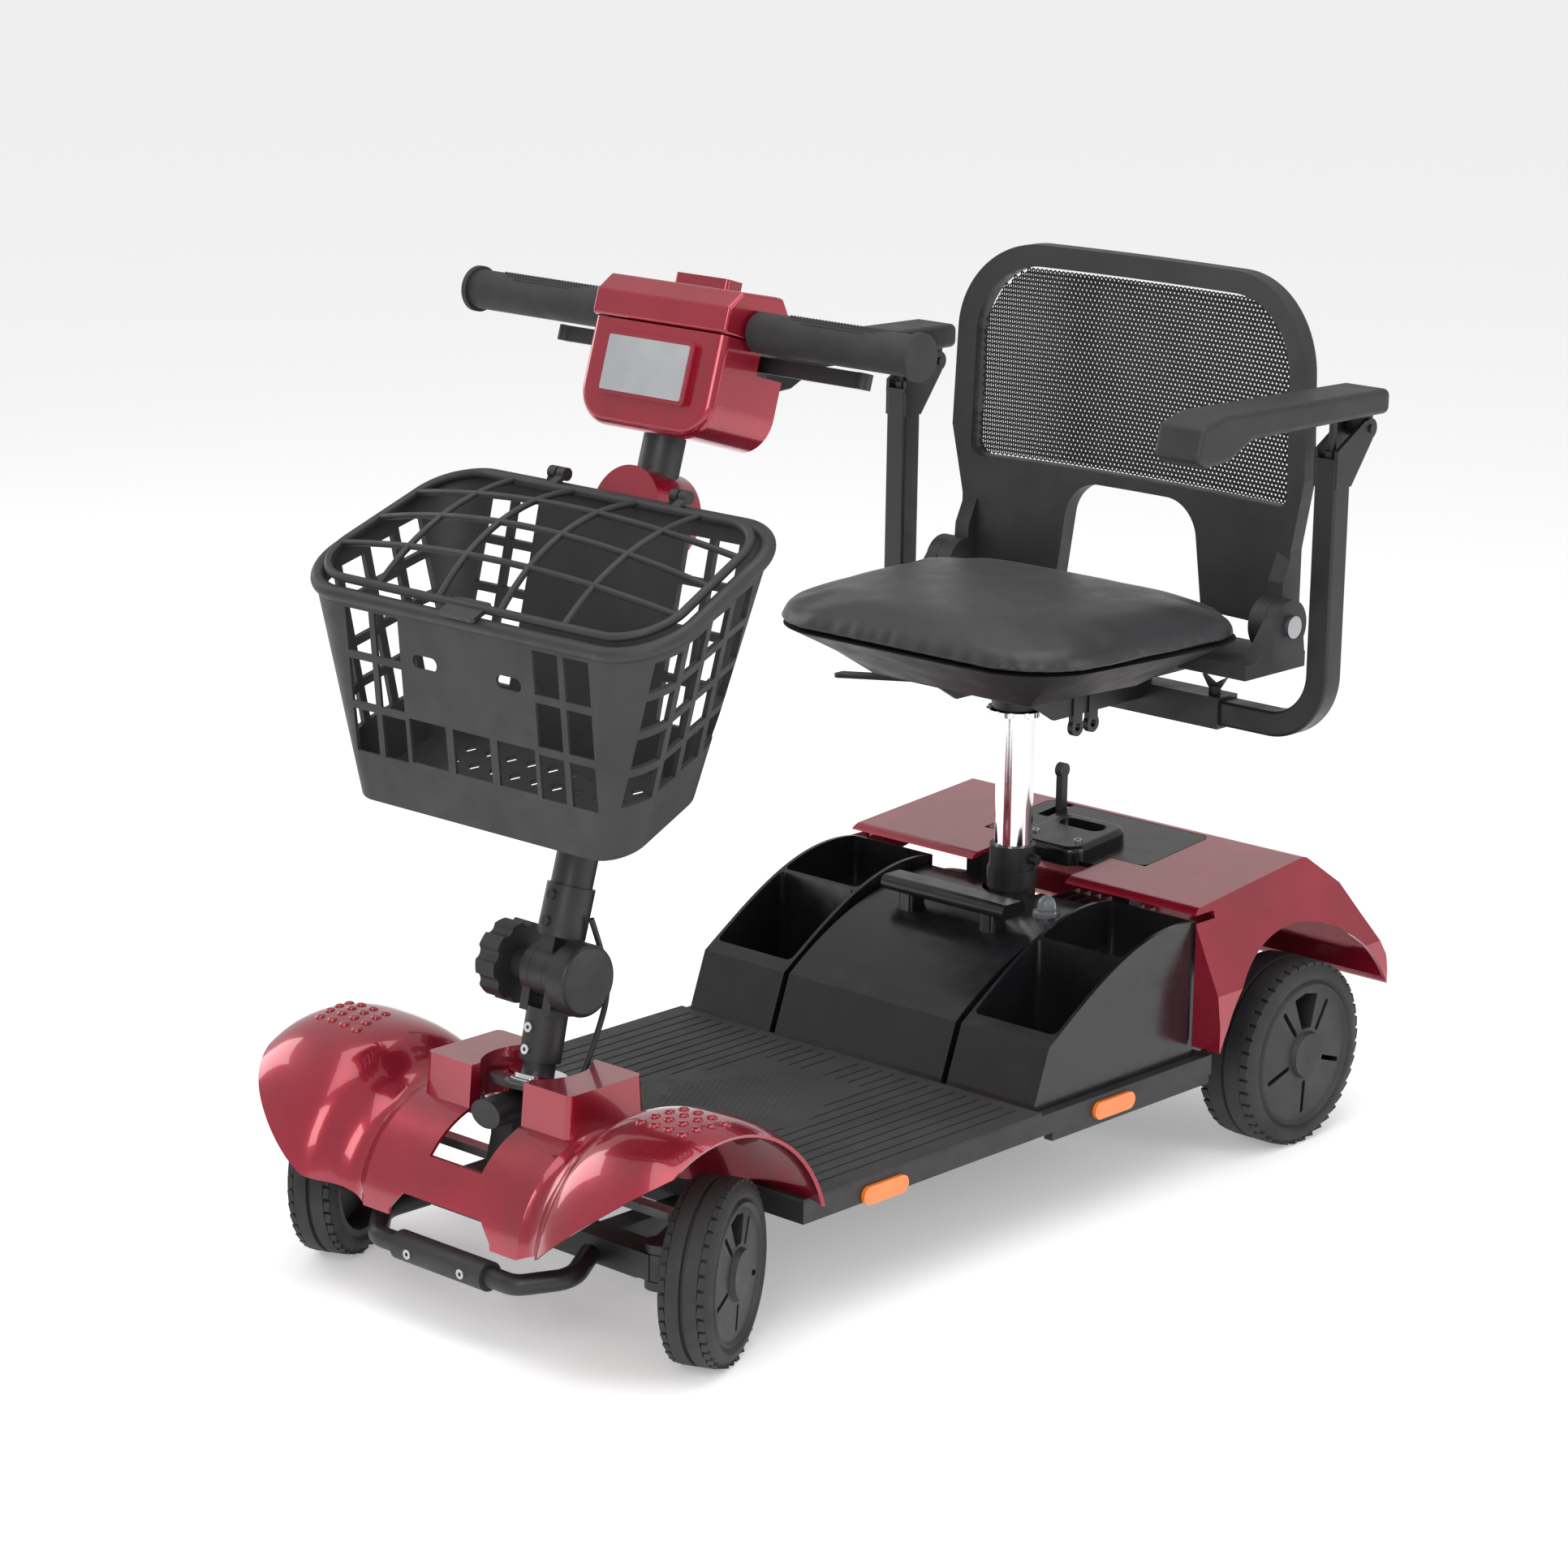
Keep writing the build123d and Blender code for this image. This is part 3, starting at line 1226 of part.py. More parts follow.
mesh_bar = 7.0
with BuildPart() as basket:
    add(basket_skins[0])
    add(basket_skins[1], mode=Mode.SUBTRACT)
    front_windows = wall_rows(494, 625, 3, mesh_bar)
    with BuildSketch(front_plane(rim_front[0] + 60)):
        for low, high in front_windows:
            for x in (-135, -98, 98, 135):
                with Locations((x, (low + high) / 2)):
                    Rectangle(30, high - low)
        for x in (-55, 0, 55):
            with Locations((x, 516)):
                Rectangle(46, 40)
        for x in (-52, 52):
            with Locations((x, 590)):
                SlotOverall(30, 12)
    extrude(amount=120, mode=Mode.SUBTRACT)
    with BuildSketch(front_plane(floor_rear[0] - 25)):
        for low, high in wall_rows(540, 700, 4, mesh_bar):
            for x in (-140, -105, 105, 140):
                with Locations((x, (low + high) / 2)):
                    Rectangle(28, high - low)
    extrude(amount=-120, mode=Mode.SUBTRACT)
    slope = (rim_rear[1] - rim_front[1]) / (rim_rear[0] - rim_front[0])
    for side in (-1, 1):
        start = 130 if side > 0 else -260
        with BuildSketch(side_plane(start)):
            for n in range(4):
                y = rim_front[0] + 34 + n * 31
                low = 492 + (y - rim_front[0]) * 0.36
                high = rim_front[1] - 14 + (y - rim_front[0]) * slope
                for a, b in wall_rows(low, high, 4, mesh_bar):
                    with BuildLine():
                        Polyline((y - 12, a - 4), (y + 12, a + 4), (y + 12, b + 4), (y - 12, b - 4), close=True)
                    make_face()
        extrude(amount=130, mode=Mode.SUBTRACT)
    with BuildSketch(base_plane.offset(-1)):
        with Locations((0, base_l / 2)):
            with GridLocations(26, 22, 9, 4):
                Rectangle(9, 9, rotation=45)
    extrude(amount=basket_wall + 2, mode=Mode.SUBTRACT)
    with BuildLine() as rim_line:
        with BuildLine(rim_plane):
            FilletPolyline(*trapezoid(rim_front_half, rim_rear_half, rim_l, basket_wall / 2),
                           radius=rim_corner_r, close=True)
    with BuildSketch(Plane(origin=rim_line.line @ 0, z_dir=rim_line.line % 0)):
        Circle(rim_rod_r)
    sweep()
    for x in (-75, 75):
        with BuildSketch(side_plane(x - 11)):
            with Locations(lid_pin):
                Circle(6)
            with Locations((rim_rear[0] + 1, rim_rear[1] + 5)):
                Rectangle(10, 8)
            with Locations(lid_pin):
                Circle(3 + running_gap, mode=Mode.SUBTRACT)
        extrude(amount=9)
    with BuildSketch(tiller_plane.offset(300)):
        with Locations((0, -42)):
            Rectangle(60, 22)
    extrude(amount=90)
    add(basket_skins[1], mode=Mode.SUBTRACT)
    with BuildSketch(tiller_plane.offset(250)):
        with Locations((0, -4)):
            Rectangle(2 * shroud_r + 2, 58)
    extrude(amount=180, mode=Mode.SUBTRACT)
save(basket, "basket")

lid_rod = 3.0
lid_gap = 3.0
lid_rise = 24.0
lid_inset = rim_rod_r + lid_rod + lid_gap
lid_corner_r = rim_corner_r - lid_inset + 6
lid_across = (rim_front_half + rim_rear_half) / 2 - lid_inset
with BuildPart() as basket_lid:
    with BuildLine() as lid_line:
        with BuildLine(rim_plane.offset(lid_lift)):
            FilletPolyline(*trapezoid(rim_front_half, rim_rear_half, rim_l, lid_inset), radius=lid_corner_r,
                           close=True)
    with BuildSketch(Plane(origin=lid_line.line @ 0, z_dir=lid_line.line % 0)):
        Circle(lid_rod + 1)
    sweep()
    for x in (-114, -38, 38, 114):
        bar_side = Plane(origin=rim_plane.origin + rim_plane.z_dir * lid_lift + Vector(x, 0, 0),
                         x_dir=rim_plane.y_dir, z_dir=(1, 0, 0))
        with BuildLine() as bar_line:
            with BuildLine(bar_side):
                ThreePointArc((lid_inset, 0), (rim_l / 2, lid_rise * (1 - (x / lid_across) ** 2)),
                              (rim_l - lid_inset, 0))
        with BuildSketch(Plane(origin=bar_line.line @ 0, z_dir=bar_line.line % 0)):
            Circle(lid_rod)
        sweep()
    for n in (1, 2, 3):
        share = n / 4
        across = rim_front_half + (rim_rear_half - rim_front_half) * share - lid_inset
        rise = lid_rise * (1 - (2 * share - 1) ** 2)
        along = lid_inset + (rim_l - 2 * lid_inset) * share
        cross_plane = Plane(origin=rim_plane.origin + rim_plane.z_dir * lid_lift + rim_plane.y_dir * along,
                            x_dir=(1, 0, 0), z_dir=rim_plane.y_dir * -1)
        with BuildLine() as cross_line:
            with BuildLine(cross_plane):
                ThreePointArc((-across, 0), (0, rise), (across, 0))
        with BuildSketch(Plane(origin=cross_line.line @ 0, z_dir=cross_line.line % 0)):
            Circle(lid_rod)
        sweep()
    for x in (-75, 75):
        with BuildSketch(side_plane(x)):
            with Locations(lid_pin):
                Circle(6)
            with Locations((lid_pin[0] - 8, lid_pin[1] - 4.4)):
                Rectangle(18, 4, rotation=29)
        extrude(amount=9)
        with BuildSketch(side_plane(x - 11.5)):
            with Locations(lid_pin):
                Circle(3)
        extrude(amount=14)
    with BuildSketch(rim_plane.offset(rim_rod_r + 0.5)):
        with Locations((0, lid_inset - 5)):
            RectangleRounded(44, 26, 4)
    extrude(amount=4)
save(basket_lid, "basket_lid")

# ==== seat ===========================================================================================================
with BuildPart() as seat_post:
    with BuildSketch(Plane.XY.offset(post_bottom_z + seat_gap)):
        with Locations((0, post_y)):
            Circle(post_r)
    extrude(amount=post_top_z - post_bottom_z - seat_gap)
    with BuildSketch(Plane.XY.offset(post_top_z)):
        with Locations((0, post_y)):
            Circle(swivel_r)
            with PolarLocations(swivel_r + 1, 12):
                Circle(3, mode=Mode.SUBTRACT)
    extrude(amount=5)
    with BuildSketch(Plane.XY.offset(post_top_z)):
        with Locations((0, post_y)):
            Circle(spigot_r)
    extrude(amount=34)
save(seat_post, "seat_post")

lever_root = Vector(-72.0, post_y - 4, 446.0)
lever_tip = Vector(-186.0, post_y - 58, 446.0)
lever_pin_r = 3.0
hub_low_z = post_top_z + 6.0
pan_bottom_z = 470.0
plate_low_z = pan_bottom_z - 4.4
belt_lug_x = 52.0
belt_lug_z = 424.0
belt_hole_r = 4.0
receiver_half_z = arm_tube / 2 + running_gap * 4 + arm_wall
with BuildPart() as seat_bracket:
    with BuildSketch(Plane.XY.offset(hub_low_z)):
        with Locations((0, post_y)):
            Circle(25)
            Circle(spigot_r + running_gap, mode=Mode.SUBTRACT)
    extrude(amount=plate_low_z - hub_low_z)
    with BuildSketch(Plane.XY.offset(plate_low_z)):
        with Locations((0, post_y + 26)):
            Rectangle(190, 236)
    extrude(amount=4)
    for x in (-64, 60):
        with BuildSketch(side_plane(x)):
            with BuildLine():
                Polyline((post_y - 70, plate_low_z), (post_y - 20, arm_z), (arm_y, arm_z),
                         (arm_y, plate_low_z), close=True)
            make_face()
        extrude(amount=4)
    with BuildSketch(Plane.XY.offset(hub_low_z + 4)):
        with Locations((0, post_y)):
            Rectangle(126, 10)
    extrude(amount=plate_low_z - hub_low_z - 4)
    with BuildSketch(side_plane(-receiver_half)):
        with Locations((arm_y, arm_z)):
            Rectangle(2 * receiver_half_z, 2 * receiver_half_z)
    extrude(amount=2 * receiver_half)
    with BuildSketch(side_plane(-receiver_half)):
        with Locations((arm_y, arm_z)):
            Rectangle(arm_tube + 4 * running_gap * 2, arm_tube + 4 * running_gap * 2)
    extrude(amount=2 * receiver_half, mode=Mode.SUBTRACT)
    with BuildSketch(Plane.XY.offset(hub_low_z)):
        with Locations((0, post_y)):
            Circle(spigot_r + running_gap)
    extrude(amount=40, mode=Mode.SUBTRACT)
    for y in (lever_root.Y - 13.5, lever_root.Y + 9.5):
        with BuildSketch(front_plane(y)):
            with Locations((lever_root.X, lever_root.Z)):
                Circle(6)
            with Locations((lever_root.X + 3, (lever_root.Z + plate_low_z) / 2)):
                Rectangle(16, plate_low_z - lever_root.Z + 1)
            with Locations((lever_root.X, lever_root.Z)):
                Circle(lever_pin_r + running_gap, mode=Mode.SUBTRACT)
        extrude(amount=-4)
    for y in (post_y + 14, post_y + 38):
        with BuildSketch(side_plane(belt_lug_x + 8)):
            with Locations((y, belt_lug_z)):
                Circle(9)
            with Locations((y, belt_lug_z + 16)):
                Rectangle(14, 32)
            with Locations((y, belt_lug_z)):
                Circle(belt_hole_r, mode=Mode.SUBTRACT)
        extrude(amount=6)
save(seat_bracket, "seat_bracket")

with BuildPart() as armrest_knobs:
    for side in (-1, 1):
        knob_centre = side * (receiver_half - 16)
        top_z = arm_z + receiver_half_z
        with BuildSketch(Plane.XY.offset(top_z + 0.1)):
            with Locations((knob_centre, arm_y)):
                Circle(6)
        extrude(amount=8)
        with BuildSketch(front_plane(arm_y - 3)):
            with BuildLine():
                Polyline((knob_centre - 14, top_z + 18), (knob_centre - 6, top_z + 6),
                         (knob_centre + 6, top_z + 6), (knob_centre + 14, top_z + 18),
                         (knob_centre, top_z + 10), close=True)
            make_face()
        extrude(amount=-6)
save(armrest_knobs, "armrest_knobs")

with BuildPart() as seat_lever:
    with BuildSketch(Plane.XY.offset(lever_root.Z - 2)):
        with BuildLine():
            Polyline((lever_root.X, lever_root.Y - 9), (lever_root.X, lever_root.Y + 9),
                     (lever_root.X - 30, lever_root.Y + 9), (lever_tip.X, lever_tip.Y + 9),
                     (lever_tip.X, lever_tip.Y - 9), (lever_root.X - 30, lever_root.Y - 9), close=True)
        make_face()
        fillet(vertices().group_by(Axis.X)[0], radius=4)
    extrude(amount=4)
    with BuildSketch(front_plane(lever_root.Y - 9)):
        with Locations((lever_root.X, lever_root.Z)):
            Circle(5)
    extrude(amount=-18)
    with BuildSketch(front_plane(lever_root.Y - 14)):
        with Locations((lever_root.X, lever_root.Z)):
            Circle(lever_pin_r)
    extrude(amount=-28)
save(seat_lever, "seat_lever")

cushion_points = [
    (-cushion_half_w + 25, cushion_front_y), (cushion_half_w - 25, cushion_front_y),
    (cushion_half_w, cushion_rear_y - 100), (cushion_half_w, cushion_rear_y),
    (-cushion_half_w, cushion_rear_y), (-cushion_half_w, cushion_rear_y - 100),
]
with BuildPart() as seat_cushion:
    with BuildSketch(Plane.XY.offset(cushion_bottom_z)):
        with BuildLine():
            Polyline(*cushion_points, close=True)
        make_face()
        fillet(vertices().group_by(Axis.Y)[0], radius=front_corner_r)
        fillet(vertices().group_by(Axis.Y)[-1], radius=rear_corner_r)
    extrude(amount=cushion_top_z - cushion_bottom_z)
    fillet(seat_cushion.faces().sort_by(Axis.Z)[-1].outer_wire().edges(), radius=12)
save(seat_cushion, "seat_cushion")

shell_inset = 4.0
with BuildPart() as seat_shell:
    with BuildSketch(Plane.XY.offset(cushion_bottom_z - seat_gap)):
        with BuildLine():
            Polyline(*cushion_points, close=True)
        make_face()
        fillet(vertices().group_by(Axis.Y)[0], radius=front_corner_r)
        fillet(vertices().group_by(Axis.Y)[-1], radius=rear_corner_r)
        offset(amount=-shell_inset)
    extrude(amount=-(cushion_bottom_z - seat_gap - pan_bottom_z), taper=60)
    with BuildSketch(Plane.XY.offset(cushion_bottom_z - seat_gap - 6)):
        with Locations((0, (cushion_rear_y + pivot_y) / 2 - 35)):
            Rectangle(2 * hub_inner_x - 60, 40)
    extrude(amount=6)
    with BuildSketch(Plane.XY.offset(pivot_z - hub_r - move_gap - 16)):
        for side in (-1, 1):
            with Locations((side * (ear_outer_x + 140) / 2, pivot_y - 22)):
                Rectangle(ear_outer_x - 140, 96)
    extrude(amount=15)
    for side in (-1, 1):
        start = hub_outer_x + 0.4 if side > 0 else -ear_outer_x
        with BuildSketch(side_plane(start)):
            with Locations((pivot_y, pivot_z)):
                Circle(hub_r)
            with BuildLine():
                Polyline((pivot_y - 62, pivot_z - hub_r - move_gap - 8), (pivot_y - 24, pivot_z + 10),
                         (pivot_y + 20, pivot_z), (pivot_y + 26, pivot_z - hub_r - move_gap - 8), close=True)
            make_face()
            with Locations((pivot_y, pivot_z)):
                Circle(pivot_pin_r + running_gap, mode=Mode.SUBTRACT)
        extrude(amount=ear_outer_x - hub_outer_x - 0.4)
save(seat_shell, "seat_shell")

with BuildPart() as backrest_bolts:
    for side in (-1, 1):
        inner = hub_inner_x - 4
        with BuildSketch(side_plane(inner if side > 0 else -ear_outer_x - 3)):
            with Locations((pivot_y, pivot_z)):
                Circle(pivot_pin_r)
        extrude(amount=ear_outer_x + 3 - inner)
        with BuildSketch(side_plane(ear_outer_x + 0.2 if side > 0 else -ear_outer_x - 5.2)):
            with Locations((pivot_y, pivot_z)):
                Circle(11)
        extrude(amount=5)
save(backrest_bolts, "backrest_bolts")

# ==== backrest =======================================================================================================
def curved_slab(front_y, thickness, low, high):
    """A wall curved about the sitter, between two heights."""
    bands = []
    centre_y = front_y - back_curve_r
    half = back_half_w + 8
    for radius in (back_curve_r, back_curve_r + thickness):
        sag = math.sqrt(radius ** 2 - half ** 2)
        bands.append([(-half, centre_y + sag), (0, centre_y + radius), (half, centre_y + sag)])
    with BuildPart() as slab:
        with BuildSketch(Plane.XY.offset(low)):
            with BuildLine():
                ThreePointArc(*bands[0])
                Line(bands[0][2], bands[1][2])
                ThreePointArc(*bands[1])
                Line(bands[1][0], bands[0][0])
            make_face()
        extrude(amount=high - low)
    return slab.part


back_ring = 22.0
mesh_t = 2.0
leg_foot_half = 96.0
leg_top_half = 78.0
with BuildPart() as backrest_frame:
    add(curved_slab(back_front_y, back_t, pivot_z - hub_r, back_top_z))
    with BuildSketch(front_plane(back_front_y + 60)):
        with BuildLine():
            Polyline((-hub_outer_x, pivot_z - 8), (hub_outer_x, pivot_z - 8), (hub_outer_x, mesh_bottom_z - 40),
                     (back_half_w, mesh_bottom_z + 30), (back_half_w - 8, back_top_z),
                     (-back_half_w + 8, back_top_z), (-back_half_w, mesh_bottom_z + 30),
                     (-hub_outer_x, mesh_bottom_z - 40), close=True)
        make_face()
        fillet(vertices().group_by(Axis.Y)[-1], radius=95)
    extrude(amount=200, mode=Mode.INTERSECT)
    with BuildSketch(front_plane(back_front_y + 60)):
        with BuildLine():
            Polyline((-back_half_w + back_ring, mesh_bottom_z), (back_half_w - back_ring, mesh_bottom_z),
                     (back_half_w - back_ring - 6, back_top_z - back_ring),
                     (-back_half_w + back_ring + 6, back_top_z - back_ring), close=True)
        make_face()
        fillet(vertices().group_by(Axis.Y)[-1], radius=75)
        fillet(vertices().group_by(Axis.Y)[0], radius=14)
        with BuildLine():
            Polyline((-leg_foot_half, pivot_z - 30), (leg_foot_half, pivot_z - 30),
                     (leg_top_half, arch_top_z), (-leg_top_half, arch_top_z), close=True)
        make_face()
    extrude(amount=200, mode=Mode.SUBTRACT)
    fillet(backrest_frame.edges().filter_by(Axis.Y).filter_by_position(Axis.Z, arch_top_z - 2, arch_top_z + 2),
           radius=40)
    for side in (-1, 1):
        with BuildSketch(side_plane(hub_inner_x if side > 0 else -hub_outer_x)):
            with Locations((pivot_y, pivot_z)):
                Circle(hub_r)
            with BuildLine():
                Polyline((pivot_y, pivot_z - hub_r + 4), (pivot_y + 4, pivot_z + hub_r + 14),
                         (back_front_y - 2, pivot_z + 90), (back_front_y - 2, pivot_z - 6), close=True)
            make_face()
            with Locations((pivot_y, pivot_z)):
                Circle(pivot_pin_r + running_gap, mode=Mode.SUBTRACT)
        extrude(amount=hub_outer_x - hub_inner_x)
save(backrest_frame, "backrest_frame")

with BuildPart() as backrest_mesh:
    add(curved_slab(back_front_y + back_t / 2, mesh_t, mesh_bottom_z, back_top_z))
    with BuildSketch(front_plane(back_front_y + 60)):
        with BuildLine():
            Polyline((-back_half_w + back_ring, mesh_bottom_z), (back_half_w - back_ring, mesh_bottom_z),
                     (back_half_w - back_ring - 6, back_top_z - back_ring),
                     (-back_half_w + back_ring + 6, back_top_z - back_ring), close=True)
        make_face()
        fillet(vertices().group_by(Axis.Y)[-1], radius=75)
        fillet(vertices().group_by(Axis.Y)[0], radius=14)
        offset(amount=-seat_gap)
    extrude(amount=200, mode=Mode.INTERSECT)
save(backrest_mesh, "backrest_mesh")

# ==== armrests =======================================================================================================
cheek_t = 4.0
tongue_half = 9.0
bolt_y = pad_pivot_y - 42.0
for side, word in ((1, "left"), (-1, "right")):
    with BuildPart() as armrest_tube:
        with BuildLine() as arm_line:
            FilletPolyline((side * 24, arm_y, arm_z), (side * arm_x, arm_y, arm_z),
                           (side * arm_x, arm_y, arm_top_z), radius=arm_bend_r)
        with BuildSketch(Plane(origin=arm_line.line @ 0, x_dir=(0, 1, 0), z_dir=(side, 0, 0))):
            RectangleRounded(arm_tube, arm_tube, 3)
        sweep()
        for cheek in (-1, 1):
            start = side * arm_x + cheek * (tongue_half + 0.6) - (cheek_t if cheek < 0 else 0)
            with BuildSketch(side_plane(start)):
                with BuildLine():
                    Polyline((arm_y - 12, arm_top_z - 24), (arm_y - 12, arm_top_z + 12),
                             (pad_pivot_y - 8, pad_pivot_z + 9), (pad_pivot_y + 4, pad_pivot_z - 10),
                             (arm_y + 12, arm_top_z - 24), close=True)
                make_face()
                with Locations((pad_pivot_y, pad_pivot_z)):
                    Circle(10)
            extrude(amount=cheek_t)
        with BuildSketch(Plane.XY.offset(arm_top_z)):
            with Locations((side * arm_x, bolt_y)):
                Rectangle(2 * tongue_half + 2 * cheek_t, 22)
        extrude(amount=4)
        with BuildSketch(side_plane(side * arm_x - tongue_half - cheek_t - 3)):
            with Locations((pad_pivot_y, pad_pivot_z)):
                Circle(4)
        extrude(amount=2 * (tongue_half + cheek_t + 3))
        with BuildSketch(Plane.XY.offset(arm_top_z + 4.2)):
            with Locations((side * arm_x, bolt_y)):
                RegularPolygon(7.5, 6)
        extrude(amount=6)
        with BuildSketch(Plane.XY.offset(arm_top_z + 4.2)):
            with Locations((side * arm_x, bolt_y)):
                Circle(4)
        extrude(amount=pad_bottom_z - arm_top_z - 4.2 - seat_gap)
    save(armrest_tube, "armrest_tube_" + word)
    with BuildPart() as armrest_pad:
        with BuildSketch(side_plane(side * arm_x - pad_half_w)):
            with BuildLine():
                Polyline((pad_front_y, pad_bottom_z - 10), (pad_front_y + 8, pad_top_z - 8),
                         (pad_front_y + 40, pad_top_z), (pad_rear_y, pad_top_z - 4), (pad_rear_y, pad_bottom_z),
                         (pad_front_y + 84, pad_bottom_z), (pad_front_y + 48, pad_bottom_z - 16),
                         (pad_front_y + 14, pad_bottom_z - 18), close=True)
            make_face()
            fillet(vertices(), radius=7)
        extrude(amount=2 * pad_half_w)
        fillet(armrest_pad.edges().group_by(Axis.X)[0] + armrest_pad.edges().group_by(Axis.X)[-1], radius=6)
        with BuildSketch(side_plane(side * arm_x - tongue_half)):
            with Locations((pad_pivot_y, pad_pivot_z)):
                Circle(9)
            with Locations((pad_pivot_y, (pad_pivot_z + pad_bottom_z + 4) / 2)):
                Rectangle(18, pad_bottom_z + 4 - pad_pivot_z)
            with Locations((pad_pivot_y, pad_pivot_z)):
                Circle(4 + running_gap, mode=Mode.SUBTRACT)
        extrude(amount=2 * tongue_half)
    save(armrest_pad, "armrest_pad_" + word)

# ==== tiller cable ===================================================================================================
cable_r = 2.75
cable_foot_z = stem_z + head_tube_high - 0.5
cable_route = [
    (27, clutch_y + 20, clutch_z + 50), (30, clutch_y + 30, clutch_z + 20), (31, clutch_y + 38, clutch_z - 14),
    (29, clutch_y + 32, clutch_z - 48), (25, stem_y + 27, cable_foot_z),
]
with BuildPart() as tiller_cable:
    corners = [Vector(*p) for p in cable_route]
    radii = []
    for before, at, after in zip(corners, corners[1:], corners[2:]):
        turn = (at - before).get_angle(after - at)
        shorter = min((at - before).length, (after - at).length)
        radii.append(0.45 * shorter / math.tan(math.radians(turn) / 2))
    print("cable bend radii", [round(r, 1) for r in radii])
    with BuildLine() as cable_line:
        FilletPolyline(*cable_route, radius=radii)
    with BuildSketch(Plane(origin=cable_line.line @ 0, z_dir=cable_line.line % 0)):
        Circle(cable_r)
    sweep()
print("cable length", round(sum(e.length for e in cable_line.edges()), 1))
save(tiller_cable, "tiller_cable")
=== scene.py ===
# %% [markdown]
# # A travel mobility scooter
# The scooter is already there as a fixed frame: every hard part has its place and its size.
# What Blender adds is the look of it: paint, rubber, chrome, a stuffed seat and an airy mesh back.
# We start by loading the frame.

# %% Load the frame
import bpy
import bmesh
import json
import math
import random
from mathutils import Matrix, Vector


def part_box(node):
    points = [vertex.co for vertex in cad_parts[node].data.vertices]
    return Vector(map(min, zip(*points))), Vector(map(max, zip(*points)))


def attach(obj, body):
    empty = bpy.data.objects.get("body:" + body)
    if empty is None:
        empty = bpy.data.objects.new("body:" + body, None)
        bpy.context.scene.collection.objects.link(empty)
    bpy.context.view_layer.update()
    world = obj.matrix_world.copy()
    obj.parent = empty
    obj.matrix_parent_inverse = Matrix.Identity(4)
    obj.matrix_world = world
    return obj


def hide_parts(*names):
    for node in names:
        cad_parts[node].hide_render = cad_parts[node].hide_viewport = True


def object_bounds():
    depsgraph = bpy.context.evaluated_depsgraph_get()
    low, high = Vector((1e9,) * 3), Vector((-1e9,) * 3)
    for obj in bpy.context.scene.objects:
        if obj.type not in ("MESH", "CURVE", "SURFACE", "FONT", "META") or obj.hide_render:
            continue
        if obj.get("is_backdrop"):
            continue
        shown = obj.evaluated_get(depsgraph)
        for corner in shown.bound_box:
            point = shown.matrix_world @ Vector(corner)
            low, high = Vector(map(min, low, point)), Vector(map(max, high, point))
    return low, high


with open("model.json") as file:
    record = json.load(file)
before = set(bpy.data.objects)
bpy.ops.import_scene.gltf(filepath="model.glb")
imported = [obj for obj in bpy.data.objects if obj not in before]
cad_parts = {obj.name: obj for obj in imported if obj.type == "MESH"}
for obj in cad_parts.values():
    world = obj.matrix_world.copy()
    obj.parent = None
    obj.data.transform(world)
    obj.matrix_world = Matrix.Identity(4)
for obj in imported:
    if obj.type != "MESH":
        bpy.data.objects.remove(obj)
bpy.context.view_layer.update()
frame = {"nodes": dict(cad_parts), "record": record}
nodes = frame["nodes"]

# %% [markdown]
# ## Camera, floor and light
# A scooter is best seen from its front corner, a little above the seat, with a long lens, so that
# parallel edges stay nearly parallel. A small roll of the camera tips the whole view slightly.
# Plain lamps with large faces give the soft, broad highlights that gloss paint and chrome need.
# The Standard view keeps blacks black and the paint saturated, where a filmic one would grey them.

# %% Camera
bpy.context.scene.view_settings.view_transform = "Standard"
camera = bpy.data.objects.new("camera", bpy.data.cameras.new("camera"))
bpy.context.collection.objects.link(camera)
bpy.context.scene.camera = camera
camera.data.lens = 100.04
camera.data.sensor_width = 36.0
target = Vector((0.120, -0.207, 0.4655))
camera.location = Vector((2.6378, -2.9596, 1.4456))
facing = (target - camera.location).to_track_quat("-Z", "Y").to_matrix()
roll = Matrix.Rotation(math.radians(0.85), 3, "Z")
camera.rotation_euler = (facing @ roll).to_euler()
print("camera is", round((target - camera.location).length, 2), "m away")


# %% [markdown]
# A node tree needs many nodes, each with a few values. One small helper makes a node and sets them.

# %% Nodes made easy
def add_node(tree, kind, **settings):
    """A node of this kind. A setting is the node's own, or else the value of its input socket."""
    made = tree.nodes.new(kind)
    for name, value in settings.items():
        if hasattr(made, name):
            setattr(made, name, value)
        else:
            made.inputs[name.replace("_", " ")].default_value = value
    return made


# %% [markdown]
# The world behind it is plain white too.

# %% Floor and world
floor_mesh = bpy.data.meshes.new("floor")
far = 14.0
corners = [(-far, -far, 0), (far, -far, 0), (far, far, 0), (-far, far, 0)]
floor_mesh.from_pydata(corners, [], [(0, 1, 2, 3)])
floor = bpy.data.objects.new("floor", floor_mesh)
bpy.context.collection.objects.link(floor)
pale = bpy.data.materials.new("pale_floor")
pale.use_nodes = True
glow = pale.node_tree.nodes["Principled BSDF"].inputs
glow["Base Color"].default_value = (0.93, 0.93, 0.93, 1)
glow["Roughness"].default_value = 0.9
glow["Emission Color"].default_value = (1, 1, 1, 1)
glow["Emission Strength"].default_value = 0.28
floor_mesh.materials.append(pale)
floor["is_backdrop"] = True

world = bpy.data.worlds.new("studio")
bpy.context.scene.world = world
world.use_nodes = True
sky = world.node_tree.nodes["Background"].inputs
sky["Color"].default_value = (1, 1, 1, 1)
sky["Strength"].default_value = 0.62
print("floor", 2 * far, "m across")

# %% [markdown]
# The lamps are large rectangles aimed at the middle of the scooter: one above, one in front as the
# key, and one at each side to draw an edge along the tyres, the tubes and the seat.


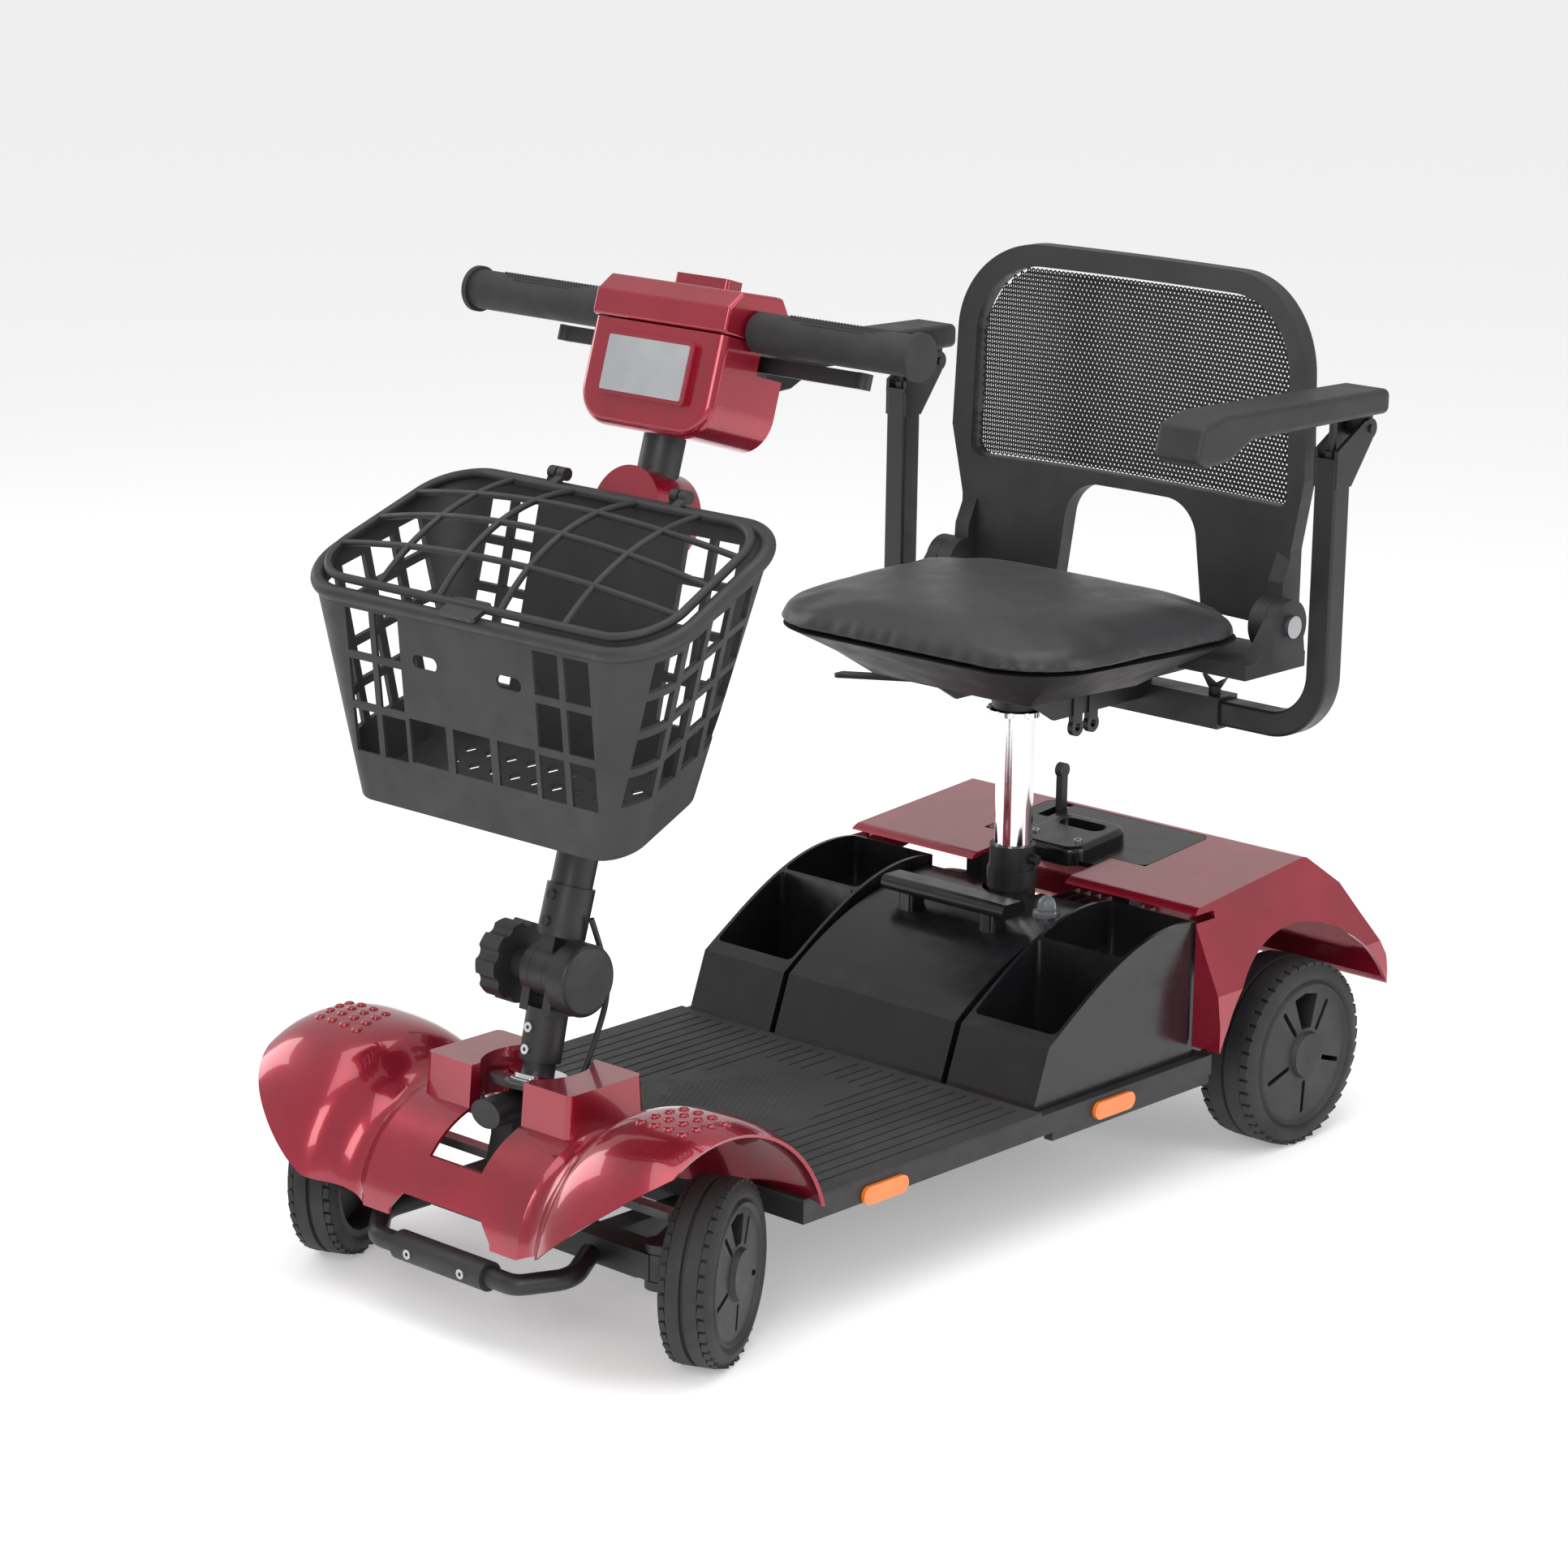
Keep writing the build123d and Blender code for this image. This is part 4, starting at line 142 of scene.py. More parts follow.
# %% Lamps
def lamp(name, place, size, watts):
    made = bpy.data.objects.new(name, bpy.data.lights.new(name, "AREA"))
    made.data.shape = "RECTANGLE"
    made.data.size, made.data.size_y = size
    made.data.energy = watts
    made.location = place
    aim = Vector((0, 0, 0.45)) - Vector(place)
    made.rotation_euler = aim.to_track_quat("-Z", "Y").to_euler()
    bpy.context.collection.objects.link(made)


lamp("overhead", (0.3, -0.3, 2.9), (2.6, 2.6), 42)
lamp("key", (1.4, -3.0, 2.0), (1.4, 1.8), 34)
lamp("side", (3.0, 0.9, 1.5), (1.2, 1.6), 20)
lamp("far_side", (-2.8, -0.6, 1.6), (1.2, 1.6), 18)


# %% [markdown]
# ## Finishes
# Most of a scooter is black, and what tells its parts apart is how each black shines. Moulded
# plastic has a fine pebble, powder coat an orange peel, and rubber is dull and a little grey with
# use. One recipe covers them: a slow noise shifts the colour, a second one breaks up the
# shine as handling does, and a fine one lifts the surface. Each finish only changes the numbers.

# %% The recipe
def finish(name, dark, light, shine, grain, lift, **sockets):
    """Colour from dark to light, roughness from the pair shine, grain in waves a metre and lift
    in metres. Other sockets of the shader are named with an underscore for each space."""
    made = bpy.data.materials.new(name)
    made.use_nodes = True
    tree = made.node_tree
    shader = tree.nodes["Principled BSDF"]
    place = add_node(tree, "ShaderNodeTexCoord").outputs["Object"]
    cloud = add_node(tree, "ShaderNodeTexNoise", Scale=9.0, Detail=4.0)
    tree.links.new(place, cloud.inputs["Vector"])
    colours = add_node(tree, "ShaderNodeValToRGB")
    colours.color_ramp.elements[0].position = 0.3
    colours.color_ramp.elements[1].position = 0.7
    colours.color_ramp.elements[0].color = (*dark, 1)
    colours.color_ramp.elements[1].color = (*light, 1)
    tree.links.new(cloud.outputs["Fac"], colours.inputs["Fac"])
    tree.links.new(colours.outputs["Color"], shader.inputs["Base Color"])
    wear = add_node(tree, "ShaderNodeTexNoise", Scale=38.0, Detail=6.0)
    tree.links.new(place, wear.inputs["Vector"])
    spread = add_node(tree, "ShaderNodeMapRange")
    spread.inputs["From Min"].default_value = 0.3
    spread.inputs["From Max"].default_value = 0.7
    spread.inputs["To Min"].default_value, spread.inputs["To Max"].default_value = shine
    tree.links.new(wear.outputs["Fac"], spread.inputs["Value"])
    tree.links.new(spread.outputs["Result"], shader.inputs["Roughness"])
    fine = add_node(tree, "ShaderNodeTexNoise", Scale=grain, Detail=2.0)
    tree.links.new(place, fine.inputs["Vector"])
    bump = add_node(tree, "ShaderNodeBump", Strength=0.6, Distance=lift)
    tree.links.new(fine.outputs["Fac"], bump.inputs["Height"])
    tree.links.new(bump.outputs["Normal"], shader.inputs["Normal"])
    for socket, value in sockets.items():
        shader.inputs[socket.replace("_", " ")].default_value = value
    return made


# %% [markdown]
# The finishes follow the material slots of the frame, so each node finds its own by name. A row
# gives the darkest and lightest colour, the two roughnesses, the grain and how high it stands.
# The paint is metallic under a clear coat, which is what makes it deep in shade and bright in light.

# %% One finish for each slot
finishes = {
    "black_steel": finish(
        "black_powder_coat", (0.009, 0.009, 0.010), (0.018, 0.018, 0.020), (0.34, 0.5), 900, 0.0002),
    "black_abs": finish(
        "black_moulding", (0.007, 0.007, 0.008), (0.013, 0.013, 0.015), (0.13, 0.30), 1300, 0.00006),
    "red_cover": finish(
        "burgundy_paint", (0.27, 0.006, 0.020), (0.38, 0.009, 0.033), (0.24, 0.30), 500, 0.000012,
        Metallic=0.55, Coat_Weight=1.0, Coat_Roughness=0.04),
    "rubber_mat": finish(
        "mat_rubber", (0.020, 0.020, 0.021), (0.035, 0.035, 0.037), (0.6, 0.8), 1500, 0.0003),
    "reflector": finish(
        "orange_reflector", (0.85, 0.16, 0.01), (1.0, 0.25, 0.02), (0.12, 0.24), 420, 0.0006,
        Coat_Weight=0.8),
    "chrome": finish(
        "polished_chrome", (0.72, 0.73, 0.75), (0.86, 0.87, 0.88), (0.05, 0.14), 260, 0.00003,
        Metallic=1.0),
    "steel": finish(
        "bare_steel", (0.40, 0.40, 0.42), (0.55, 0.55, 0.57), (0.25, 0.42), 700, 0.0001,
        Metallic=1.0),
    "black_plastic": finish(
        "matte_moulding", (0.013, 0.013, 0.014), (0.025, 0.025, 0.027), (0.45, 0.6), 1700, 0.0002),
    "clear_lens": finish(
        "clear_dome", (0.70, 0.74, 0.80), (0.85, 0.88, 0.92), (0.04, 0.1), 200, 0.00002,
        Transmission_Weight=0.85, IOR=1.49),
    "cast_alloy": finish(
        "cast_alloy", (0.20, 0.20, 0.21), (0.33, 0.33, 0.34), (0.4, 0.6), 800, 0.0004,
        Metallic=0.9),
    "silver_badge": finish(
        "brushed_badge", (0.55, 0.57, 0.60), (0.72, 0.74, 0.76), (0.2, 0.32), 600, 0.00005,
        Metallic=1.0),
    "grip_rubber": finish(
        "grip_rubber", (0.012, 0.012, 0.013), (0.024, 0.024, 0.025), (0.6, 0.76), 1400, 0.0003),
    "tyre_rubber": finish(
        "tyre_rubber", (0.016, 0.016, 0.017), (0.036, 0.035, 0.035), (0.62, 0.82), 1100, 0.0004),
    "cushion_vinyl": finish(
        "seat_vinyl", (0.014, 0.014, 0.016), (0.024, 0.024, 0.027), (0.33, 0.48), 620, 0.0005,
        Sheen_Weight=0.1),
    "mesh_fabric": finish(
        "mesh_fabric", (0.006, 0.006, 0.007), (0.012, 0.012, 0.013), (0.65, 0.85), 2400, 0.0002,
        Sheen_Weight=0.08),
}
for part in frame["record"]["subparts"]:
    held = nodes[part["node"]].data.materials
    held.clear()
    held.append(finishes[part["material_slot"]])
print(len(finishes), "finishes on", len(nodes), "nodes")


# %% [markdown]
# ## Things that repeat
# Raised dots, tread blocks and the cells of a mesh are all one small shape, many times over.
# Geometry Nodes do that well: a tree takes a cloud of points, each with the way it faces, and
# sets the shape on each. The tree ends in real faces, so what leaves it is an ordinary mesh.

# %% Points and trees
def points_mesh(name, places, facings):
    """Loose points that each carry the direction they face."""
    made = bpy.data.meshes.new(name)
    made.from_pydata([tuple(p) for p in places], [], [])
    attribute = made.attributes.new("facing", "FLOAT_VECTOR", "POINT")
    for index, way in enumerate(facings):
        attribute.data[index].vector = way
    carrier = bpy.data.objects.new(name, made)
    bpy.context.collection.objects.link(carrier)
    return carrier


def repeating_tree(title, sizes, build_shape):
    """A tree with named sizes that sets the shape made by build_shape on every point it is given."""
    tree = bpy.data.node_groups.new(title, "GeometryNodeTree")
    tree.interface.new_socket("Geometry", in_out="INPUT", socket_type="NodeSocketGeometry")
    for label in sizes:
        tree.interface.new_socket(label, in_out="INPUT", socket_type="NodeSocketFloat")
    tree.interface.new_socket("Material", in_out="INPUT", socket_type="NodeSocketMaterial")
    tree.interface.new_socket("Geometry", in_out="OUTPUT", socket_type="NodeSocketGeometry")
    entry, leave = tree.nodes.new("NodeGroupInput"), tree.nodes.new("NodeGroupOutput")
    link = tree.links.new
    way = add_node(tree, "GeometryNodeInputNamedAttribute", data_type="FLOAT_VECTOR")
    way.inputs["Name"].default_value = "facing"
    align = add_node(tree, "FunctionNodeAlignRotationToVector", axis="Z")
    link(way.outputs["Attribute"], align.inputs["Vector"])
    spread = tree.nodes.new("GeometryNodeInstanceOnPoints")
    link(entry.outputs["Geometry"], spread.inputs["Points"])
    link(build_shape(tree, entry), spread.inputs["Instance"])
    link(align.outputs["Rotation"], spread.inputs["Rotation"])
    real = tree.nodes.new("GeometryNodeRealizeInstances")
    link(spread.outputs["Instances"], real.inputs["Geometry"])
    paint = tree.nodes.new("GeometryNodeSetMaterial")
    link(real.outputs["Geometry"], paint.inputs["Geometry"])
    link(entry.outputs["Material"], paint.inputs["Material"])
    link(paint.outputs["Geometry"], leave.inputs["Geometry"])
    print(title, "tree,", len(tree.nodes), "nodes")
    return tree


def grown(carrier, tree, **inputs):
    """The plain mesh object that the tree makes of these points, under the same name."""
    modifier = carrier.modifiers.new("grow", "NODES")
    modifier.node_group = tree
    for socket in tree.interface.items_tree:
        if socket.in_out == "INPUT" and socket.name in inputs:
            modifier[socket.identifier] = inputs[socket.name]
    bpy.context.view_layer.update()
    depsgraph = bpy.context.evaluated_depsgraph_get()
    result = bpy.data.meshes.new_from_object(carrier.evaluated_get(depsgraph))
    name = carrier.name
    bpy.data.objects.remove(carrier)
    made = bpy.data.objects.new(name, result)
    bpy.context.collection.objects.link(made)
    print(name, len(result.polygons), "faces")
    return made


# %% [markdown]
# The first shape is a low dome, for raised dots, dimples and stipple. It is a small ball pressed
# flat, and only its top half shows, because the rest sinks into the surface under it.

# %% Dome tree
def dome_shape(tree, entry):
    ball = tree.nodes.new("GeometryNodeMeshUVSphere")
    tree.links.new(entry.outputs["Radius"], ball.inputs["Radius"])
    tree.links.new(entry.outputs["Sides"], ball.inputs["Segments"])
    tree.links.new(entry.outputs["Sides"], ball.inputs["Rings"])
    press = tree.nodes.new("GeometryNodeTransform")
    scale = tree.nodes.new("ShaderNodeCombineXYZ")
    scale.inputs["X"].default_value = scale.inputs["Y"].default_value = 1.0
    tree.links.new(entry.outputs["Flatness"], scale.inputs["Z"])
    tree.links.new(ball.outputs["Mesh"], press.inputs["Geometry"])
    tree.links.new(scale.outputs["Vector"], press.inputs["Scale"])
    return press.outputs["Geometry"]


domes = repeating_tree("domes", ["Radius", "Flatness", "Sides"], dome_shape)

# %% [markdown]
# ## Raised dots on the front fenders
# The top of each front fender carries four rows of four round dots, moulded with the cover.
# The cover is doubly curved, so a formula would leave some dots sunk and others floating. We drop
# a ray on the cover for each dot instead, which gives its place and the way it faces.

# %% Fender dots
cover = nodes["front_cover"]
places, facings = [], []
for sign in (-1, 1):
    for row in range(4):
        for column in range(4):
            across = 0.180 + 0.003 * row + 0.0166 * column
            above = Vector((sign * across, -0.447 + 0.0145 * row, 0.4))
            hit, spot, way, _ = cover.ray_cast(above, Vector((0, 0, -1)))
            if hit:
                places.append(spot)
                facings.append(way)
dots = grown(points_mesh("fender_dots", places, facings), domes,
             Radius=0.005, Flatness=0.5, Sides=16.0, Material=finishes["red_cover"])
dots.data.shade_smooth()
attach(dots, "chassis")

# %% [markdown]
# ## The foot mat's pad
# In the middle of the ribbed mat lies a drop-shaped pad, left blank, with a fine field of dimples.

# %% Pad dimples
pad_y, pad_radius, mat_top = -0.150, 0.070, 0.127
places = []
for i in range(-10, 11):
    for j in range(-10, 21):
        spot = Vector((0.0068 * (i + 0.5 * (j % 2)), pad_y + 0.0059 * j, mat_top))
        behind = spot.y - pad_y
        round_end = (spot - Vector((0, pad_y, mat_top))).length < pad_radius - 0.006
        taper = 0 <= behind < 0.108 and abs(spot.x) < (pad_radius - 0.008) * (1 - behind / 0.16)
        if round_end or taper:
            places.append(spot)
upwards = [Vector((0, 0, 1))] * len(places)
dimples = grown(points_mesh("pad_dimples", places, upwards), domes,
                Radius=0.0016, Flatness=0.4, Sides=8.0, Material=finishes["rubber_mat"])
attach(dimples, "chassis")

# %% [markdown]
# ## Grip stipple
# The rubber grips have an oval field of tiny points where the palm rests, on top and in front.

# %% Stipple
rake = math.radians(16.5)
up_tiller = Vector((0, math.sin(rake), math.cos(rake)))
across_tiller = Vector((0, math.cos(rake), -math.sin(rake)))
clutch = Vector((0, -0.374445, 0.302))
bar_middle = clutch + up_tiller * 0.586
grip_radius, field_middle, field_half = 0.018, 0.177, 0.060
places, facings = [], []
for sign in (-1, 1):
    for i in range(34):
        for j in range(11):
            along, turn = (i - 16.5) / 16.5, (j - 5) / 5
            if along * along + turn * turn > 1:
                continue
            angle = math.radians(62 * turn)
            way = up_tiller * math.cos(angle) - across_tiller * math.sin(angle)
            x = sign * (field_middle + field_half * along)
            places.append(bar_middle + way * grip_radius + Vector((x, 0, 0)))
            facings.append(way)
stipple = grown(points_mesh("grip_stipple", places, facings), domes,
                Radius=0.0013, Flatness=0.8, Sides=8.0, Material=finishes["grip_rubber"])
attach(stipple, "tiller")


# %% [markdown]
# ## Tyres
# The tyres are solid, with a smooth crown split by one groove, and short blocks on the shoulders.
# The carcass is a turned profile. The blocks are one box, set round it by a tree.

# %% Block tree
def block_shape(tree, entry):
    size = tree.nodes.new("ShaderNodeCombineXYZ")
    for axis, label in zip("XYZ", ("Length", "Width", "Height")):
        tree.links.new(entry.outputs[label], size.inputs[axis])
    box = tree.nodes.new("GeometryNodeMeshCube")
    tree.links.new(size.outputs["Vector"], box.inputs["Size"])
    return box.outputs["Mesh"]


blocks = repeating_tree("tread_blocks", ["Length", "Width", "Height"], block_shape)


# %% [markdown]
# The profile runs from one edge of the tyre to the other and is carried round the axle. The
# finished tyre is then turned to its axle's direction and moved to the wheel's middle.


# %% Tyres with tread
def turned(bm, profile, steps):
    """A closed ring: the profile (offset along the axle, radius) carried round the local X axis."""
    rings = []
    for step in range(steps):
        angle = 2 * math.pi * step / steps
        across, up = math.sin(angle), math.cos(angle)
        rings.append([bm.verts.new((a, r * across, r * up)) for a, r in profile])
    for step in range(steps):
        here, there = rings[step], rings[(step + 1) % steps]
        for k in range(len(profile)):
            n = (k + 1) % len(profile)
            bm.faces.new((here[k], here[n], there[n], there[k]))


def tyre(name, middle, out, radius, width, count, body):
    half, rim = width / 2, radius * 0.79
    groove, depth = 0.0022, 0.0035
    edge = half * 0.62
    low = radius - depth
    one_side = [(half - .003, rim), (half, rim + .004), (half, radius * 0.87),
                (half - .0015, radius * 0.92), (half - .005, radius * 0.96), (edge, low),
                (edge - .001, radius), (groove, radius), (groove * 0.6, low)]
    profile = [(-across, r) for across, r in one_side] + one_side[::-1]
    bm = bmesh.new()
    turned(bm, profile, 96)
    bmesh.ops.recalc_face_normals(bm, faces=bm.faces)
    mesh = bpy.data.meshes.new(name)
    bm.to_mesh(mesh)
    bm.free()
    places, facings = [], []
    for step in range(count):
        for sign in (-1, 1):
            angle = 2 * math.pi * (step + 0.25 * (1 + sign)) / count
            way = Vector((0, math.sin(angle), math.cos(angle)))
            shoulder = Vector((sign * (edge + half - 0.005) / 2, 0, 0))
            places.append(shoulder + way * (radius - 0.0024))
            facings.append(Vector((sign * 0.10, way.y, way.z)).normalized())
    tread = grown(points_mesh(name + "_blocks", places, facings), blocks,
                  Length=half - 0.004 - edge, Width=2 * math.pi * radius / count * 0.76,
                  Height=0.0034, Material=finishes["tyre_rubber"])
    whole = bmesh.new()
    whole.from_mesh(mesh)
    whole.from_mesh(tread.data)
    bpy.data.objects.remove(tread)
    out = Vector(out).normalized()
    up = Vector((0, 0, 1))
    turn = Matrix((out, up.cross(out), up)).transposed().to_4x4()
    whole.transform(Matrix.Translation(middle) @ turn)
    whole.to_mesh(mesh)
    whole.free()
    mesh.materials.clear()
    mesh.materials.append(finishes["tyre_rubber"])
    mesh.shade_smooth()
    mesh.set_sharp_from_angle(angle=math.radians(32))
    made = bpy.data.objects.new(name + "_tread", mesh)
    bpy.context.collection.objects.link(made)
    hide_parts(name)
    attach(made, body)
    print(made.name, len(mesh.polygons), "faces")


steer = math.radians(24)
out_left = (math.cos(steer), math.sin(steer), 0)
out_right = (-math.cos(steer), -math.sin(steer), 0)
front = {"radius": 0.083, "width": 0.049, "count": 40}
rear = {"radius": 0.094, "width": 0.066, "count": 42}
tyre("front_tyre_left", Vector((0.21485, -0.39248, 0.083)), out_left,
     body="front_wheel_left", **front)
tyre("front_tyre_right", Vector((-0.21485, -0.43152, 0.083)), out_right,
     body="front_wheel_right", **front)
tyre("rear_tyre_left", Vector((0.211, 0.431, 0.094)), (1, 0, 0),
     body="rear_wheel_left", **rear)
tyre("rear_tyre_right", Vector((-0.211, 0.431, 0.094)), (-1, 0, 0),
     body="rear_wheel_right", **rear)

# %% [markdown]
# ## The mesh back
# The back is an open mesh stretched in its frame, and the light comes through it. A bump could
# not do that, so it is real cells: six-sided plates, each with a hole, that meet edge to edge on the
# curve of the frame. Merged where they meet, they are one sheet, and a thin wall makes it solid.

# %% Cell tree
def cell_shape(tree, entry):
    plate = add_node(tree, "GeometryNodeMeshCircle", Vertices=6, fill_type="NGON")
    tree.links.new(entry.outputs["Cell"], plate.inputs["Radius"])
    inset = add_node(tree, "GeometryNodeExtrudeMesh", Offset_Scale=0.0)
    tree.links.new(plate.outputs["Mesh"], inset.inputs["Mesh"])
    hole = tree.nodes.new("GeometryNodeScaleElements")
    tree.links.new(inset.outputs["Mesh"], hole.inputs["Geometry"])
    tree.links.new(inset.outputs["Top"], hole.inputs["Selection"])
    tree.links.new(entry.outputs["Hole"], hole.inputs["Scale"])
    opened = add_node(tree, "GeometryNodeDeleteGeometry", domain="FACE")
    tree.links.new(hole.outputs["Geometry"], opened.inputs["Geometry"])
    tree.links.new(inset.outputs["Top"], opened.inputs["Selection"])
    upright = tree.nodes.new("GeometryNodeTransform")
    upright.inputs["Rotation"].default_value = (0, 0, math.radians(30))
    tree.links.new(opened.outputs["Geometry"], upright.inputs["Geometry"])
    return upright.outputs["Geometry"]


cells = repeating_tree("mesh_cells", ["Cell", "Hole"], cell_shape)

# %% Mesh back
def applied(piece):
    """The piece with its modifiers made real."""
    depsgraph = bpy.context.evaluated_depsgraph_get()
    fresh = bpy.data.meshes.new_from_object(piece.evaluated_get(depsgraph))
    piece.modifiers.clear()
    piece.data = fresh


mesh_low, mesh_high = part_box("backrest_mesh")
bend, corner, pitch, cloth_thickness = 1.370, 0.075, 0.0052, 0.0006
row_step = pitch * 0.866
crown_y = mesh_high.y - 0.001
places, facings = [], []
rows = int((mesh_high.z - mesh_low.z) / row_step)
for row in range(1, rows):
    z = mesh_low.z + row * row_step
    share = (z - mesh_low.z) / (mesh_high.z - mesh_low.z)
    reach = mesh_high.x - 0.006 * share - 0.003
    over = z - (mesh_high.z - corner)
    if over > 0:
        reach -= corner - math.sqrt(max(corner ** 2 - over ** 2, 0))
    for column in range(-60, 61):
        x = (column + 0.5 * (row % 2)) * pitch
        if abs(x) < reach:
            y = crown_y - (bend - math.sqrt(bend ** 2 - x ** 2))
            places.append(Vector((x, y, z)))
            facings.append(Vector((x / bend, -1, 0)).normalized())
back = grown(points_mesh("mesh_back", places, facings), cells,
             Cell=pitch / math.sqrt(3), Hole=0.38, Material=finishes["mesh_fabric"])

# %% [markdown]
# The plates become one sheet of cloth.

# %% Mesh as one sheet
sheet = bmesh.new()
sheet.from_mesh(back.data)
bmesh.ops.remove_doubles(sheet, verts=sheet.verts, dist=0.0003)
bmesh.ops.recalc_face_normals(sheet, faces=sheet.faces)
sheet.to_mesh(back.data)
sheet.free()
wall = back.modifiers.new("wall", "SOLIDIFY")
wall.thickness, wall.offset = cloth_thickness, 0.0
applied(back)
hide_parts("backrest_mesh")
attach(back, "backrest")

# %% [markdown]
# ## The seat cushion
# A seat like this is foam in a vinyl cover, drawn tight under the rim of its pan. The cover bulges
# between its edges and gathers in little folds where it is pulled under. We start from a slim form
# on the pan's outline and let the cloth solver inflate it, because its swelling is what
# makes a stuffed shape look stuffed. The folds come afterwards: a remesh would wipe them out.

# %% Cushion form
seat_low, seat_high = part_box("seat_cushion")


def seat_outline(steps=24):
    """The pan's outline, anticlockwise, with its large front and smaller rear corners."""
    half, front, rear = seat_high.x, seat_low.y, seat_high.y
    points = []
    corners = ((half - 0.070, rear - 0.070, 0.070, 0), (-half + 0.070, rear - 0.070, 0.070, 90),
               (-half + 0.095, front + 0.085, 0.085, 180), (half - 0.095, front + 0.085, 0.085, 270))
    for cx, cy, r, start in corners:
        for k in range(steps + 1):
            a = math.radians(start + 90 * k / steps)
            points.append(Vector((cx + r * math.cos(a), cy + r * math.sin(a), 0)))
    return points


outline = seat_outline()
heart = sum(outline, Vector()) / len(outline)
thick = seat_high.z - seat_low.z
rings = [(0.0, 0.004), (0.90, 0.003), (0.985, 0.004), (1.0, 0.30 * thick), (0.995, 0.60 * thick),
         (0.975, 0.84 * thick), (0.93, 0.95 * thick), (0.80, 1.02 * thick), (0.55, 1.06 * thick),
         (0.28, 1.08 * thick), (0.0, 1.08 * thick)]
bm = bmesh.new()
loops = []
for share, height in rings:
    z = seat_low.z + height
    if share == 0:
        loops.append([bm.verts.new((heart.x, heart.y, z))])
    else:
        lift = Vector((0, 0, z))
        loops.append([bm.verts.new(heart + (p - heart) * share * 0.985 + lift) for p in outline])
for low, high in zip(loops, loops[1:]):
    n = max(len(low), len(high))
    for k in range(n):
        around = [low[k % len(low)], low[(k + 1) % len(low)],
                  high[(k + 1) % len(high)], high[k % len(high)]]
        corner = list(dict.fromkeys(around))
        if len(corner) > 2:
            bm.faces.new(corner)
bmesh.ops.recalc_face_normals(bm, faces=bm.faces)
form = bpy.data.meshes.new("cushion")
bm.to_mesh(form)
bm.free()
cushion = bpy.data.objects.new("stuffed_cushion", form)
bpy.context.collection.objects.link(cushion)
print("cushion form", len(form.polygons), "faces,", round(thick, 3), "m thick")

# %% [markdown]
# The form is remeshed into even small faces, because cloth bends only at its edges. Its underside
# is pinned to the pan, and air pressure swells the rest. A hard stop on how far a point may move
# would leave a ridge, so the stop is a gentle curve, and a few rounds of smoothing follow.

# %% Inflate the cushion
remesh = cushion.modifiers.new("even", "REMESH")
remesh.mode, remesh.voxel_size = "VOXEL", 0.005
applied(cushion)
resting = [v.co.copy() for v in cushion.data.vertices]
pinned = cushion.vertex_groups.new(name="pinned")
pinned.add([i for i, p in enumerate(resting) if p.z < seat_low.z + 0.006], 1.0, "REPLACE")
cloth = cushion.modifiers.new("swell", "CLOTH")
cloth.settings.use_pressure = True
cloth.settings.uniform_pressure_force = 4.0
cloth.settings.effector_weights.gravity = 0.0
cloth.settings.vertex_group_mass = "pinned"
cloth.point_cache.frame_start, cloth.point_cache.frame_end = 1, 20
for number in range(1, 21):
    bpy.context.scene.frame_set(number)
applied(cushion)
bpy.context.scene.frame_set(1)
most = 0.009
for v, before in zip(cushion.data.vertices, resting):
    move = v.co - before
    if move.length > 1e-7:
        v.co = before + move.normalized() * most * math.tanh(move.length / most)
    v.co.z = max(v.co.z, seat_low.z)
relax = bmesh.new()
relax.from_mesh(cushion.data)
above = [v for v in relax.verts if v.co.z > seat_low.z + 0.006]
for _ in range(14):
    bmesh.ops.smooth_vert(relax, verts=above, factor=0.5,
                          use_axis_x=True, use_axis_y=True, use_axis_z=True)
